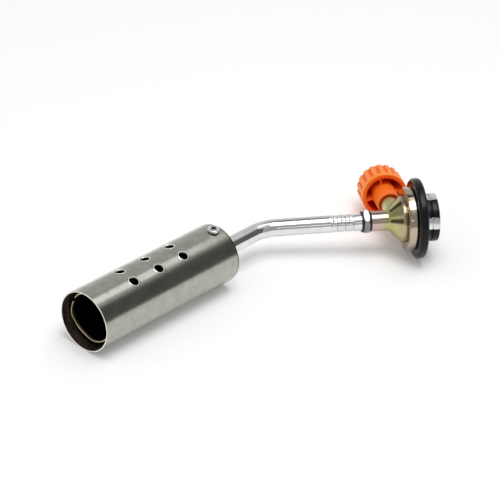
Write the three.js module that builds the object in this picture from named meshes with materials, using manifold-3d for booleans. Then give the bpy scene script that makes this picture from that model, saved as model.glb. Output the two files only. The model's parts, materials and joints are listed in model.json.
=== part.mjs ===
// A hand torch for a bayonet-mount gas cartridge, lying at rest on a flat surface.
//
// Three straight stretches share one design frame, the handle frame: its origin is where the burner's
// axis and the handle's axis cross, +X runs along the handle towards the cartridge, and the XY plane
// holds the bend, with the valve knob on the +Y side. Lengths are in millimetres.

import * as THREE from 'three';
import { mergeVertices } from 'three/addons/utils/BufferGeometryUtils.js';
import Module from 'manifold-3d';

const wasm = await Module();
wasm.setup();

// ---------------------------------------------------------------- driving dimensions

const GAP = 0.3;                      // left between pieces that touch
const DEGREE = Math.PI / 180;

const BURNER_DIAMETER = 38;           // outside of the stainless sleeve
const BURNER_LENGTH = 114;            // mouth to the back of the burner
const BURNER_TO_BEND = 43.2;          // back of the burner to the point where the two axes cross
const BEND_ANGLE = 40 * DEGREE;       // between the burner's axis and the handle's
const BEND_RADIUS = 26;               // of the tube's centre line
const TUBE_DIAMETER = 11;
const HANDLE_LENGTH = 63.1;           // bend point to the end of the tube
const KNOB_ALONG = 86.1;              // bend point to the valve axis, along the handle
const KNOB_TILT = -4.4 * DEGREE;      // the valve axis out of the bend plane, as the lock nut left it
const KNOB_DIAMETER = 30;
const KNOB_NEAR = 39.7;               // handle axis to the knob's open rim
const KNOB_LENGTH = 19.7;
const FLANGE_DIAMETER = 50.8;         // black lock base, where fingers hold it
const FLANGE_START = 95.3;            // bend point to the lock base's front face, along the handle
const FLANGE_THICKNESS = 5.6;
const HUB_END = 110;                  // bend point to the end of the lock base

const WALL = 0.8;                     // sleeve sheet
const SHEET = 0.7;                    // flame tube sheet

const MANY = 56;                      // facets round the largest turned pieces
const ROUND = 32;
const SMALL = 20;
const TINY = 12;

// ---------------------------------------------------------------- materials

function finish(colour, roughness, metalness) {
  return new THREE.MeshStandardMaterial({ color: colour, roughness, metalness });
}

const STAINLESS = finish(0x9c9a8e, 0.32, 1.0);
const HEAT_TINTED_STEEL = finish(0xb08a4a, 0.35, 1.0);
const CHROME = finish(0xe6e6e8, 0.08, 1.0);
const BRIGHT_STEEL = finish(0xb9bab8, 0.3, 1.0);
const DARK_STEEL = finish(0x4a4846, 0.5, 1.0);
const BRASS = finish(0xc9a24c, 0.3, 1.0);
const YELLOW_ZINC = finish(0xb9ae72, 0.25, 1.0);
const ORANGE_PLASTIC = finish(0xff6e1e, 0.45, 0.0);
const BLACK_NYLON = finish(0x17171b, 0.4, 0.0);
const BLACK_RUBBER = finish(0x0c0c0d, 0.7, 0.0);
const SINTERED_BRONZE = finish(0x9a7a4a, 0.8, 1.0);

// ---------------------------------------------------------------- shaping helpers

function toSolid(geometry) {
  const bare = geometry.clone();
  bare.deleteAttribute('normal');
  bare.deleteAttribute('uv');
  const merged = mergeVertices(bare, 1e-4);
  const vertProperties = Float32Array.from(merged.attributes.position.array);
  const triVerts = Uint32Array.from(merged.index.array);
  return new wasm.Manifold(new wasm.Mesh({ numProp: 3, vertProperties, triVerts }));
}

function toGeometry(solid) {
  const mesh = solid.getMesh();
  const geometry = new THREE.BufferGeometry();
  geometry.setAttribute('position', new THREE.BufferAttribute(mesh.vertProperties, 3));
  geometry.setIndex(new THREE.BufferAttribute(mesh.triVerts, 1));
  geometry.computeVertexNormals();
  return geometry;
}

function cut(body, ...tools) {
  const solid = tools.reduce((rest, tool) => rest.subtract(toSolid(tool)), toSolid(body));
  return toGeometry(solid);
}

function join(...pieces) {
  const [first, ...others] = pieces.map(toSolid);
  return toGeometry(others.reduce((sum, piece) => sum.add(piece), first));
}

// A closed outline of [along, radius] points, turned about the X axis.
function turned(outline, facets) {
  const points = outline.map(([along, radius]) => new THREE.Vector2(radius, along));
  if (THREE.ShapeUtils.area(points) < 0) points.reverse();
  points.push(points[0].clone());
  return new THREE.LatheGeometry(points, facets).rotateZ(-Math.PI / 2);
}

// A straight length of round tube or bar along X.
function pipe(start, end, outer, inner, facets) {
  return turned([[start, inner], [start, outer], [end, outer], [end, inner]], facets);
}

function bar(start, end, radius, facets) {
  return pipe(start, end, radius, 0, facets);
}

// A flat shape drawn in (Y, Z) and given a thickness along X.
function plate(shape, start, end, curveSegments = 12, steps = 1) {
  const flat = new THREE.ExtrudeGeometry(shape, {
    depth: end - start, bevelEnabled: false, curveSegments, steps,
  });
  return flat.applyMatrix4(new THREE.Matrix4().set(
    0, 0, 1, start,
    1, 0, 0, 0,
    0, 1, 0, 0,
    0, 0, 0, 1,
  ));
}

function block(xRange, yRange, zRange) {
  const size = [xRange, yRange, zRange].map(([low, high]) => high - low);
  const centre = [xRange, yRange, zRange].map(([low, high]) => (low + high) / 2);
  return new THREE.BoxGeometry(...size).translate(...centre);
}

// A drill along the direction at `angle` round the X axis, at distance `along`.
function radialDrill(along, angle, radius, from, to, facets) {
  return bar(from, to, radius, facets).rotateZ(Math.PI / 2).rotateX(angle).translate(along, 0, 0);
}

function hexagon(acrossFlats, firstCorner) {
  const cornerRadius = acrossFlats / 2 / Math.cos(30 * DEGREE);
  const shape = new THREE.Shape();
  for (let corner = 0; corner < 6; corner += 1) {
    const angle = firstCorner + corner * 60 * DEGREE;
    const point = [cornerRadius * Math.cos(angle), cornerRadius * Math.sin(angle)];
    if (corner === 0) shape.moveTo(...point);
    else shape.lineTo(...point);
  }
  shape.closePath();
  return shape;
}

function spread(count, first = 0) {
  return Array.from({ length: count }, (_, step) => first + (step * 360 * DEGREE) / count);
}

function addPart(group, name, geometry, material) {
  const mesh = new THREE.Mesh(geometry, material);
  mesh.name = name;
  group.add(mesh);
}

// A pan-head screw along +X: its head's underside at 0, head towards +X, cross recess in the head.
function panScrew(headRadius, headHeight, shankRadius, shankLength) {
  const head = [
    [0, headRadius], [headHeight * 0.45, headRadius], [headHeight * 0.85, headRadius * 0.78],
    [headHeight, headRadius * 0.4], [headHeight, 0],
  ];
  const shank = [[-shankLength, 0], [-shankLength, shankRadius * 0.6], [-shankLength * 0.85, shankRadius]];
  const body = turned([...shank, [0, shankRadius], ...head], TINY + 2);
  const recess = [headHeight * 0.35, headHeight * 1.5];
  const long = headRadius * 0.55;
  const narrow = headRadius * 0.13;
  return cut(
    body,
    block(recess, [-long, long], [-narrow, narrow]),
    block(recess, [-narrow, narrow], [-long, long]),
  );
}

// ---------------------------------------------------------------- burner
// Its own frame: origin at the centre of the mouth, +X from the mouth to the back.

const SLEEVE_RADIUS = BURNER_DIAMETER / 2;
const SLEEVE_BORE = SLEEVE_RADIUS - WALL;
const BASE_LIP = 0.8;                             // the base's rim behind the sleeve
const SLEEVE_LENGTH = BURNER_LENGTH - BASE_LIP - GAP;
const AIR_HOLE_RADIUS = 3;
const AIR_HOLE_ROWS = 3;
const AIR_HOLE_FIRST = 33;
const AIR_HOLE_PITCH = 21;
const AIR_HOLE_SIDES = [100 * DEGREE, 280 * DEGREE];
const AIR_HOLE_SPREAD = 18.3 * DEGREE;            // either side of the middle of its group
const SCREW_ALONG = 107.3;
const SCREW_ANGLE = 101 * DEGREE;
const SCREW_RADIUS = 1.5;
const FLAME_TUBE_RADIUS = 15.4;
const FLAME_TUBE_START = 6.1;
const FLAME_TUBE_END = 54;
const FLAME_TUBE_SEAM = 27 * DEGREE;
const FLAME_TUBE_SEAM_GAP = 3;
const FLAME_TUBE_ROUND_FROM = 30;                 // from here on the sheet is held round
const MIXING_TUBE_RADIUS = 6;
const MIXING_TUBE_START = 49;
const MIXING_TUBE_END = 84;
const HOLDER_START = 34;
const HOLDER_THICKNESS = 2;
const HEAD_START = 46;
const HEAD_END = 60;
const THROAT_START = 58;                          // where the mixing tube narrows
const THROAT_END = 66;
const INLET_ALONG = 74.5;
const JET_START = 78;
const JET_END = 87.6;
const JET_RADIUS = 2.5;
const JET_PASSAGE = 1.2;
const JET_HOLDER_START = 82;
const JET_HOLDER_END = 101;
const JET_HOLDER_FLANGE = 7.5;
const FILTER_START = 88.5;
const FILTER_END = 91;
const FILTER_RADIUS = 1.65;
const BASE_START = 101;
const TUBE_START = 93.3;                          // the gas tube's end inside the burner
const TUBE_RADIUS = TUBE_DIAMETER / 2;
const TUBE_BORE = TUBE_RADIUS - 1.2;

function burnerSleeve() {
  const lip = 0.25;
  const tube = turned([
    [lip, SLEEVE_BORE], [0, SLEEVE_BORE + lip], [0, SLEEVE_RADIUS - lip], [lip, SLEEVE_RADIUS],
    [SLEEVE_LENGTH, SLEEVE_RADIUS], [SLEEVE_LENGTH, SLEEVE_BORE],
  ], MANY);
  const drills = [];
  for (const side of AIR_HOLE_SIDES) {
    for (const turn of [-AIR_HOLE_SPREAD, AIR_HOLE_SPREAD]) {
      for (let row = 0; row < AIR_HOLE_ROWS; row += 1) {
        const along = AIR_HOLE_FIRST + row * AIR_HOLE_PITCH;
        drills.push(radialDrill(along, side + turn, AIR_HOLE_RADIUS, 15, 22, TINY + 2));
      }
    }
  }
  drills.push(radialDrill(SCREW_ALONG, SCREW_ANGLE, SCREW_RADIUS + GAP, 15, 22, TINY));
  return cut(tube, ...drills);
}

// How far the free end of the rolled sheet stands out of round: sprung out on both sides of its seam,
// pushed in a little further round.
function flameTubeSpring(angle) {
  const bulge = (middle, width) => {
    const turn = angle - middle * DEGREE;
    const away = Math.atan2(Math.sin(turn), Math.cos(turn)) / (width * DEGREE);
    return Math.exp(-away * away);
  };
  return 1.8 * bulge(351, 22) + 0.7 * bulge(38, 22) - 0.6 * bulge(295, 16);
}

// One sheet rolled into a tube, its two edges not quite meeting, out of round towards its open end.
function flameTube() {
  const halfGap = FLAME_TUBE_SEAM_GAP / 2 / FLAME_TUBE_RADIUS;
  const first = FLAME_TUBE_SEAM + halfGap;
  const last = FLAME_TUBE_SEAM + 2 * Math.PI - halfGap;
  const shape = new THREE.Shape();
  shape.absarc(0, 0, FLAME_TUBE_RADIUS, first, last, false);
  shape.absarc(0, 0, FLAME_TUBE_RADIUS - SHEET, last, first, true);
  shape.closePath();
  const tube = plate(shape, FLAME_TUBE_START, FLAME_TUBE_END, ROUND / 2, 9);
  const places = tube.attributes.position;
  for (let index = 0; index < places.count; index += 1) {
    const point = new THREE.Vector3().fromBufferAttribute(places, index);
    const radius = Math.hypot(point.y, point.z);
    const held = THREE.MathUtils.smoothstep(point.x, FLAME_TUBE_START, FLAME_TUBE_ROUND_FROM);
    const scale = 1 + (flameTubeSpring(Math.atan2(point.z, point.y)) * (1 - held)) / radius;
    places.setXYZ(index, point.x, point.y * scale, point.z * scale);
  }
  return tube;
}

// Two rings of flame ports: how many, on what circle, and how big.
const FLAME_PORTS = [
  { count: 12, circle: 10, radius: 1.3 },
  { count: 6, circle: 5.2, radius: 1.1 },
];

function flameHolder() {
  const end = HOLDER_START + HOLDER_THICKNESS;
  const disc = bar(HOLDER_START, end, FLAME_TUBE_RADIUS - SHEET - GAP, ROUND);
  const ports = [];
  for (const { count, circle, radius } of FLAME_PORTS) {
    for (const angle of spread(count)) {
      const port = bar(HOLDER_START - 1, end + 1, radius, 8);
      ports.push(port.translate(0, circle * Math.cos(angle), circle * Math.sin(angle)));
    }
  }
  return cut(disc, ...ports);
}

// Carries the flame tube on the end of the mixing tube.
function burnerHead() {
  const outer = FLAME_TUBE_RADIUS - SHEET - GAP;
  const bore = MIXING_TUBE_RADIUS + GAP;
  const wall = 1.2;
  const web = HEAD_START + 5;
  return turned([
    [HEAD_START, outer - wall], [HEAD_START, outer], [FLAME_TUBE_END, outer],
    [HEAD_END - 2, bore + wall], [HEAD_END, bore + wall], [HEAD_END, bore],
    [web, bore], [web, outer - wall],
  ], ROUND);
}

function mixingTube() {
  const bore = MIXING_TUBE_RADIUS - 1;
  const tube = turned([
    [MIXING_TUBE_START, bore + 0.6], [MIXING_TUBE_START, MIXING_TUBE_RADIUS],
    [MIXING_TUBE_END, MIXING_TUBE_RADIUS], [MIXING_TUBE_END, bore],
    [THROAT_END, bore], [THROAT_START + 4, bore - 1.4], [THROAT_START, bore - 1.4],
  ], SMALL);
  const inlets = spread(4, 10 * DEGREE).map((angle) => radialDrill(INLET_ALONG, angle, 2.3, 3, 8, TINY));
  return cut(tube, ...inlets);
}

function gasJet() {
  const nozzle = 0.4;
  const thread = JET_START + 5.5;
  return turned([
    [JET_START, nozzle], [JET_START, JET_PASSAGE], [JET_START + 1.5, JET_RADIUS - 0.3],
    [thread, JET_RADIUS - 0.3], [thread, JET_RADIUS], [JET_END, JET_RADIUS], [JET_END, JET_PASSAGE],
    [JET_START + 2, JET_PASSAGE], [JET_START + 1, nozzle],
  ], TINY + 2);
}

// Screws into the front end of the gas tube and holds the jet.
function jetHolder() {
  const spigot = MIXING_TUBE_RADIUS - 1 - GAP;
  const shoulder = MIXING_TUBE_END + GAP;
  const neck = TUBE_START - GAP;
  const passage = 1.4;
  return turned([
    [JET_HOLDER_START, JET_RADIUS + GAP], [JET_HOLDER_START, spigot], [shoulder, spigot],
    [shoulder, JET_HOLDER_FLANGE], [neck - 4, JET_HOLDER_FLANGE], [neck, TUBE_RADIUS],
    [neck, TUBE_BORE - GAP], [JET_HOLDER_END, TUBE_BORE - GAP], [JET_HOLDER_END, passage],
    [FILTER_END + 0.5, passage], [FILTER_END + 0.5, FILTER_RADIUS + 0.35],
    [FILTER_START - 0.5, FILTER_RADIUS + 0.35], [FILTER_START - 0.5, JET_RADIUS + GAP],
  ], SMALL);
}

function jetFilter() {
  return bar(FILTER_START, FILTER_END, FILTER_RADIUS, TINY);
}

function burnerBase() {
  const outer = SLEEVE_BORE - GAP;
  const back = BURNER_LENGTH;
  const collar = TUBE_RADIUS + GAP;
  const wall = 1.6;
  const floor = back - 2.4;
  const collarStart = BASE_START + 4;
  const cup = turned([
    [BASE_START, outer - wall], [BASE_START, outer], [back - BASE_LIP, outer],
    [back - BASE_LIP, SLEEVE_RADIUS - 0.2], [back, SLEEVE_RADIUS - 0.4], [back, collar],
    [collarStart, collar], [collarStart, collar + 2], [floor, collar + 2], [floor, outer - wall],
  ], MANY);
  return cut(cup, radialDrill(SCREW_ALONG, SCREW_ANGLE, SCREW_RADIUS + GAP, 15, 22, TINY));
}

function sleeveScrew() {
  return panScrew(3.6, 2.2, SCREW_RADIUS, 5)
    .translate(SLEEVE_RADIUS + GAP, 0, 0).rotateZ(Math.PI / 2).rotateX(SCREW_ANGLE)
    .translate(SCREW_ALONG, 0, 0);
}

function makeBurner() {
  const burner = new THREE.Group();
  burner.name = 'burner_axis';
  burner.rotation.z = BEND_ANGLE;
  const reach = BURNER_LENGTH + BURNER_TO_BEND;
  burner.position.set(-reach * Math.cos(BEND_ANGLE), -reach * Math.sin(BEND_ANGLE), 0);
  addPart(burner, 'burner_sleeve', burnerSleeve(), STAINLESS);
  addPart(burner, 'flame_tube', flameTube(), HEAT_TINTED_STEEL);
  addPart(burner, 'flame_holder', flameHolder(), HEAT_TINTED_STEEL);
  addPart(burner, 'burner_head', burnerHead(), BRASS);
  addPart(burner, 'mixing_tube', mixingTube(), BRASS);
  addPart(burner, 'gas_jet', gasJet(), BRASS);
  addPart(burner, 'jet_holder', jetHolder(), BRASS);
  addPart(burner, 'jet_filter', jetFilter(), SINTERED_BRONZE);
  addPart(burner, 'burner_base', burnerBase(), DARK_STEEL);
  addPart(burner, 'sleeve_screw', sleeveScrew(), BRIGHT_STEEL);
  return burner;
}

// ---------------------------------------------------------------- handle
// Turned pieces on the handle axis, in the handle frame.

const CRIMP_FIRST = 46.6;
const CRIMP_PITCH = 5.1;
const CRIMP_COUNT = 3;
const NUT_START = HANDLE_LENGTH + GAP;
const NUT_END = 67;
const NUT_ACROSS_FLATS = 14.2;
const NUT_CORNER = 152 * DEGREE;
const STUD_RADIUS = 4.2;
const NECK_START = 68.4;
const NECK_RADIUS = 6.45;
const RING_RADIUS = 6.6;
const OUTLET_RADIUS = 1.6;

// Straight, one bend, straight, then three grooves rolled round the end where it grips its barb.
function gasTube() {
  const tangent = BEND_RADIUS * Math.tan(BEND_ANGLE / 2);
  const burnerWay = new THREE.Vector3(-Math.cos(BEND_ANGLE), -Math.sin(BEND_ANGLE), 0);
  const reach = BURNER_LENGTH + BURNER_TO_BEND - TUBE_START;
  const path = new THREE.CurvePath();
  const bendStart = burnerWay.clone().multiplyScalar(tangent);
  const bendEnd = new THREE.Vector3(tangent, 0, 0);
  path.add(new THREE.LineCurve3(burnerWay.clone().multiplyScalar(reach), bendStart));
  path.add(new THREE.QuadraticBezierCurve3(bendStart, new THREE.Vector3(), bendEnd));
  path.add(new THREE.LineCurve3(bendEnd, new THREE.Vector3(HANDLE_LENGTH, 0, 0)));
  const section = new THREE.Shape().absarc(0, 0, TUBE_RADIUS, 0, 2 * Math.PI, false);
  section.holes.push(new THREE.Path().absarc(0, 0, TUBE_BORE, 0, 2 * Math.PI, true));
  const tube = new THREE.ExtrudeGeometry(section, {
    steps: 36, curveSegments: 10, bevelEnabled: false, extrudePath: path,
  });
  const grooves = [];
  for (let ring = 0; ring < CRIMP_COUNT; ring += 1) {
    const middle = CRIMP_FIRST + ring * CRIMP_PITCH;
    grooves.push(turned([
      [middle - 0.8, TUBE_RADIUS + 0.3], [middle + 0.8, TUBE_RADIUS + 0.3], [middle, TUBE_RADIUS - 0.4],
    ], SMALL));
  }
  return cut(tube, ...grooves);
}

// Barbed inside the tube, threaded through the lock nut into the valve body.
function tubeNipple() {
  const barbTop = TUBE_BORE - GAP;
  const outline = [[44, OUTLET_RADIUS], [44, barbTop - 0.9]];
  for (let barb = 0; barb < CRIMP_COUNT; barb += 1) {
    const start = 44.5 + barb * CRIMP_PITCH;
    outline.push([start, barbTop - 0.9], [start + CRIMP_PITCH - 0.6, barbTop]);
  }
  outline.push(
    [HANDLE_LENGTH - 2, barbTop - 0.9], [HANDLE_LENGTH, barbTop - 0.4], [NUT_START, STUD_RADIUS],
    [77, STUD_RADIUS], [77, OUTLET_RADIUS],
  );
  return turned(outline, SMALL);
}

function frontSealRing() {
  return pipe(HANDLE_LENGTH - 0.8, HANDLE_LENGTH, RING_RADIUS, TUBE_RADIUS + GAP, SMALL);
}

function lockNut() {
  const chamfer = turned([
    [NUT_START, 0], [NUT_START, 7.2], [NUT_START + 0.7, 8.4], [NUT_END - 0.7, 8.4], [NUT_END, 7.2],
    [NUT_END, 0],
  ], ROUND);
  const prism = toSolid(plate(hexagon(NUT_ACROSS_FLATS, NUT_CORNER), NUT_START, NUT_END));
  const blank = toGeometry(prism.intersect(toSolid(chamfer)));
  return cut(blank, bar(NUT_START - 1, NUT_END + 1, STUD_RADIUS + GAP, SMALL));
}

function rearSealRing() {
  return pipe(NUT_END + GAP, NECK_START - GAP, RING_RADIUS, STUD_RADIUS + GAP, SMALL);
}

// ---------------------------------------------------------------- valve body and lock base

const CONE_START = 79.3;
const CONE_END = 86.3;
const CONE_RADIUS = 13.7;
const LIP_RADIUS = 14.9;
const RIM_START = 89.6;
const RIM_END = FLANGE_START - GAP;
const RIM_RADIUS = 20;
const SPIGOT_RADIUS = 10;
const SPIGOT_END = 98;
const BOSS_RADIUS = 6.3;
const BOSS_END = 44;                              // measured from the handle axis
const CHAMBER_RADIUS = 3.5;
const BUSH_RADIUS = 4.6;
const BASE_SCREW_CIRCLE = 8.3;
const BASE_SCREW_RADIUS = 1.2;
const CLAW_ANGLES = [91 * DEGREE, 169 * DEGREE, 310 * DEGREE];
const BASE_SCREW_ANGLES = [130 * DEGREE, 240 * DEGREE, 20 * DEGREE];

// Turns a piece drawn along X so that it points along the valve axis.
function alongValve(geometry) {
  return geometry.rotateZ(Math.PI / 2).rotateX(KNOB_TILT).translate(KNOB_ALONG, 0, 0);
}

function baseScrewHoles(start, end, radius) {
  return BASE_SCREW_ANGLES.map((angle) => bar(start, end, radius, 10)
    .translate(0, BASE_SCREW_CIRCLE * Math.cos(angle), BASE_SCREW_CIRCLE * Math.sin(angle)));
}

function valveBody() {
  const stalk = turned([
    [NECK_START, 0], [NECK_START, NECK_RADIUS], [CONE_START, NECK_RADIUS], [CONE_END, CONE_RADIUS],
    [CONE_END + 0.8, LIP_RADIUS - 0.3], [CONE_END + 1.5, LIP_RADIUS], [RIM_START - 0.6, LIP_RADIUS],
    [RIM_START - 0.4, LIP_RADIUS - 0.7], [RIM_START, LIP_RADIUS - 0.7],
    [RIM_START, RIM_RADIUS - 0.8], [RIM_START + 0.6, RIM_RADIUS],
    [RIM_END - 0.5, RIM_RADIUS], [RIM_END, RIM_RADIUS - 0.5],
    [RIM_END, SPIGOT_RADIUS], [SPIGOT_END, SPIGOT_RADIUS], [SPIGOT_END, 0],
  ], MANY);
  const boss = alongValve(turned([
    [0, 0], [0, BOSS_RADIUS], [BOSS_END - 0.6, BOSS_RADIUS], [BOSS_END, BOSS_RADIUS - 0.6], [BOSS_END, 0],
  ], SMALL));
  const outletDrill = bar(-1, 10.5, 0.9, 8).rotateZ(45 * DEGREE).rotateX(KNOB_TILT).translate(77.6, 0, 0);
  return cut(
    join(stalk, boss),
    bar(NECK_START - 1, 77.3, STUD_RADIUS + GAP, SMALL),
    outletDrill,
    alongValve(bar(5, BOSS_END + 1, CHAMBER_RADIUS, SMALL)),
    alongValve(bar(-0.5, 6, 0.8, 8)),
    bar(KNOB_ALONG, 94, 1, 8),
    bar(92, SPIGOT_END + 1, BUSH_RADIUS + GAP, SMALL),
    ...baseScrewHoles(91.5, SPIGOT_END + 1, BASE_SCREW_RADIUS + GAP),
  );
}

const FLANGE_RADIUS = FLANGE_DIAMETER / 2;
const FLANGE_END = FLANGE_START + FLANGE_THICKNESS;
const HUB_RADIUS = 15;
const RECESS_RADIUS = 12.6;
const PLATE_START = 101.6;
const PLATE_END = 102.8;
const CLAW_WIDTH = 7.2;
const CLAW_END = 110.1;
const CLAW_SHEET = 1.2;
const CLAW_OUTER = 15.2;
const GASKET_RADIUS = 6.2;

function lockBase() {
  const floor = PLATE_START - GAP;
  const body = turned([
    [FLANGE_START, SPIGOT_RADIUS + GAP], [FLANGE_START, FLANGE_RADIUS - 1.6],
    [FLANGE_START + 1.2, FLANGE_RADIUS], [FLANGE_END - 1, FLANGE_RADIUS],
    [FLANGE_END, FLANGE_RADIUS - 1], [FLANGE_END, FLANGE_RADIUS - 3],
    [FLANGE_END - 2, FLANGE_RADIUS - 3.5], [FLANGE_END - 2, HUB_RADIUS + 2], [FLANGE_END, HUB_RADIUS + 1],
    [FLANGE_END, HUB_RADIUS], [HUB_END - 0.5, HUB_RADIUS], [HUB_END, HUB_RADIUS - 0.5],
    [HUB_END, RECESS_RADIUS], [floor, RECESS_RADIUS], [floor, GASKET_RADIUS + GAP],
    [SPIGOT_END + GAP, GASKET_RADIUS + GAP], [SPIGOT_END + GAP, SPIGOT_RADIUS + GAP],
  ], MANY);
  const halfWidth = CLAW_WIDTH / 2 + GAP;
  const windows = CLAW_ANGLES.map((angle) => (
    block([floor, HUB_END + 1], [8, HUB_RADIUS + 2], [-halfWidth, halfWidth]).rotateX(angle)
  ));
  return cut(body, ...windows, ...baseScrewHoles(90, 105, BASE_SCREW_RADIUS + GAP));
}

// A stamped ring with three claws bent up through the hub's windows, their tips turned inwards.
function clawPlate() {
  const ring = pipe(PLATE_START, PLATE_END, RECESS_RADIUS - GAP, BUSH_RADIUS + GAP, ROUND);
  const half = CLAW_WIDTH / 2;
  const step = 105.6;
  const claws = CLAW_ANGLES.map((angle) => {
    const side = new THREE.Shape();
    side.moveTo(PLATE_START, 11);
    side.lineTo(PLATE_START, CLAW_OUTER - 0.9);
    side.lineTo(PLATE_START + 0.5, CLAW_OUTER - 0.4);
    side.lineTo(step - 0.3, CLAW_OUTER - 0.4);
    side.lineTo(step, CLAW_OUTER - 0.7);
    side.lineTo(step + 0.3, CLAW_OUTER);
    side.lineTo(CLAW_END - 0.4, CLAW_OUTER);
    side.lineTo(CLAW_END, CLAW_OUTER - 0.4);
    side.lineTo(CLAW_END, 11.4);
    side.lineTo(CLAW_END - CLAW_SHEET, 11.4);
    side.lineTo(CLAW_END - CLAW_SHEET, CLAW_OUTER - CLAW_SHEET - 0.4);
    side.lineTo(PLATE_END, CLAW_OUTER - CLAW_SHEET - 0.4);
    side.lineTo(PLATE_END, 11);
    side.closePath();
    const claw = new THREE.ExtrudeGeometry(side, { depth: CLAW_WIDTH, bevelEnabled: false });
    return claw.translate(0, 0, -half).rotateX(angle);
  });
  return cut(join(ring, ...claws), ...baseScrewHoles(100, 105, BASE_SCREW_RADIUS + GAP));
}

function baseScrew(angle) {
  return panScrew(2.2, 1.4, BASE_SCREW_RADIUS, 10.6)
    .translate(PLATE_END + GAP, BASE_SCREW_CIRCLE * Math.cos(angle), BASE_SCREW_CIRCLE * Math.sin(angle));
}

// Takes the cartridge's spout: threaded into the valve body, its shoulder on the gasket.
function inletBush() {
  return turned([
    [92.4, 1], [92.4, BUSH_RADIUS], [99.6, BUSH_RADIUS], [99.6, GASKET_RADIUS], [101.2, GASKET_RADIUS],
    [101.2, BUSH_RADIUS], [107.2, BUSH_RADIUS], [107.2, 3.6], [104.6, 3.6], [104.6, 2], [95, 2], [95, 1],
  ], SMALL);
}

function inletGasket() {
  return pipe(SPIGOT_END + GAP, 99.3, GASKET_RADIUS, BUSH_RADIUS + GAP, SMALL);
}

function inletSeal() {
  return pipe(104.9, 107, 3.3, 1.9, SMALL);
}

function inletFilter() {
  return bar(95.4, 97, 1.65, TINY);
}

function addHandle(handle) {
  addPart(handle, 'gas_tube', gasTube(), CHROME);
  addPart(handle, 'tube_nipple', tubeNipple(), BRASS);
  addPart(handle, 'front_seal_ring', frontSealRing(), BLACK_RUBBER);
  addPart(handle, 'lock_nut', lockNut(), BRIGHT_STEEL);
  addPart(handle, 'rear_seal_ring', rearSealRing(), BLACK_RUBBER);
  addPart(handle, 'valve_body', valveBody(), YELLOW_ZINC);
  addPart(handle, 'lock_base', lockBase(), BLACK_NYLON);
  addPart(handle, 'claw_plate', clawPlate(), BRIGHT_STEEL);
  BASE_SCREW_ANGLES.forEach((angle, index) => {
    addPart(handle, `base_screw_${index + 1}`, baseScrew(angle), BRIGHT_STEEL);
  });
  addPart(handle, 'inlet_bush', inletBush(), BRASS);
  addPart(handle, 'inlet_gasket', inletGasket(), BLACK_RUBBER);
  addPart(handle, 'inlet_seal', inletSeal(), BLACK_RUBBER);
  addPart(handle, 'inlet_filter', inletFilter(), SINTERED_BRONZE);
}

// ---------------------------------------------------------------- valve and knob
// Their own frame: origin on the handle axis, +X along the valve axis, out through the knob.

const KNOB_RADIUS = KNOB_DIAMETER / 2;
const KNOB_END = KNOB_NEAR + KNOB_LENGTH;
const KNOB_BORE = 12.2;
const KNOB_HUB_RADIUS = 7.7;
const KNOB_HUB_START = 25;                        // the hub reaches down towards the handle
const KNOB_COLLAR = 3.6;                          // the smooth band next to the open rim
const KNOB_FLOOR = KNOB_END - 2.6;
const KNOB_RIBS = 18;
const KNOB_RIB_TURN = 7.6 * DEGREE;
const KNOB_WEBS = 4;
const KNOB_WEB_TURN = 75 * DEGREE;
const RECESS_FLOOR = KNOB_END - 3.2;
const CAP_RADIUS = 6;
const STEM_RADIUS = 2.5;
const GLAND_START = BOSS_END + GAP;
const GLAND_END = 49;
const GROOVE_START = 18;
const GROOVE_END = 20;

function glandNut() {
  const head = plate(hexagon(11, 0), GLAND_START, GLAND_END);
  const thread = bar(38, GLAND_START + 0.5, CHAMBER_RADIUS - GAP, SMALL);
  return cut(join(head, thread), bar(37, GLAND_END + 1, STEM_RADIUS + GAP, SMALL));
}

// The needle: its cone closes the seat, its groove holds the O-ring, its end carries the knob.
function valveStem() {
  const end = RECESS_FLOOR - 0.3;
  return turned([
    [5.4, 0], [5.4, 0.3], [9, STEM_RADIUS], [GROOVE_START, STEM_RADIUS], [GROOVE_START, 1.6],
    [GROOVE_END, 1.6], [GROOVE_END, STEM_RADIUS], [end, STEM_RADIUS], [end, SCREW_RADIUS + GAP],
    [48, SCREW_RADIUS + GAP], [48, 0],
  ], SMALL);
}

function stemRing() {
  return pipe(GROOVE_START + GAP, GROOVE_END - GAP, CHAMBER_RADIUS - GAP, 1.9, SMALL);
}

function knobRibs() {
  const ribs = [];
  for (const angle of spread(KNOB_RIBS, KNOB_RIB_TURN)) {
    const rib = turned([
      [KNOB_NEAR + KNOB_COLLAR, 0], [KNOB_NEAR + KNOB_COLLAR + 1.6, 1.2], [KNOB_END - 1.4, 1.2],
      [KNOB_END - 0.4, 0],
    ], 6);
    const distance = KNOB_RADIUS - 0.85;
    ribs.push(rib.translate(0, distance * Math.cos(angle), distance * Math.sin(angle)));
  }
  return ribs;
}

function knobWebs() {
  const half = 0.7;
  return spread(KNOB_WEBS, KNOB_WEB_TURN).map((angle) => (
    block([KNOB_NEAR + 1.6, KNOB_FLOOR + 0.5], [KNOB_HUB_RADIUS - 0.6, KNOB_BORE + 0.5], [-half, half])
      .rotateX(angle)
  ));
}

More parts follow.
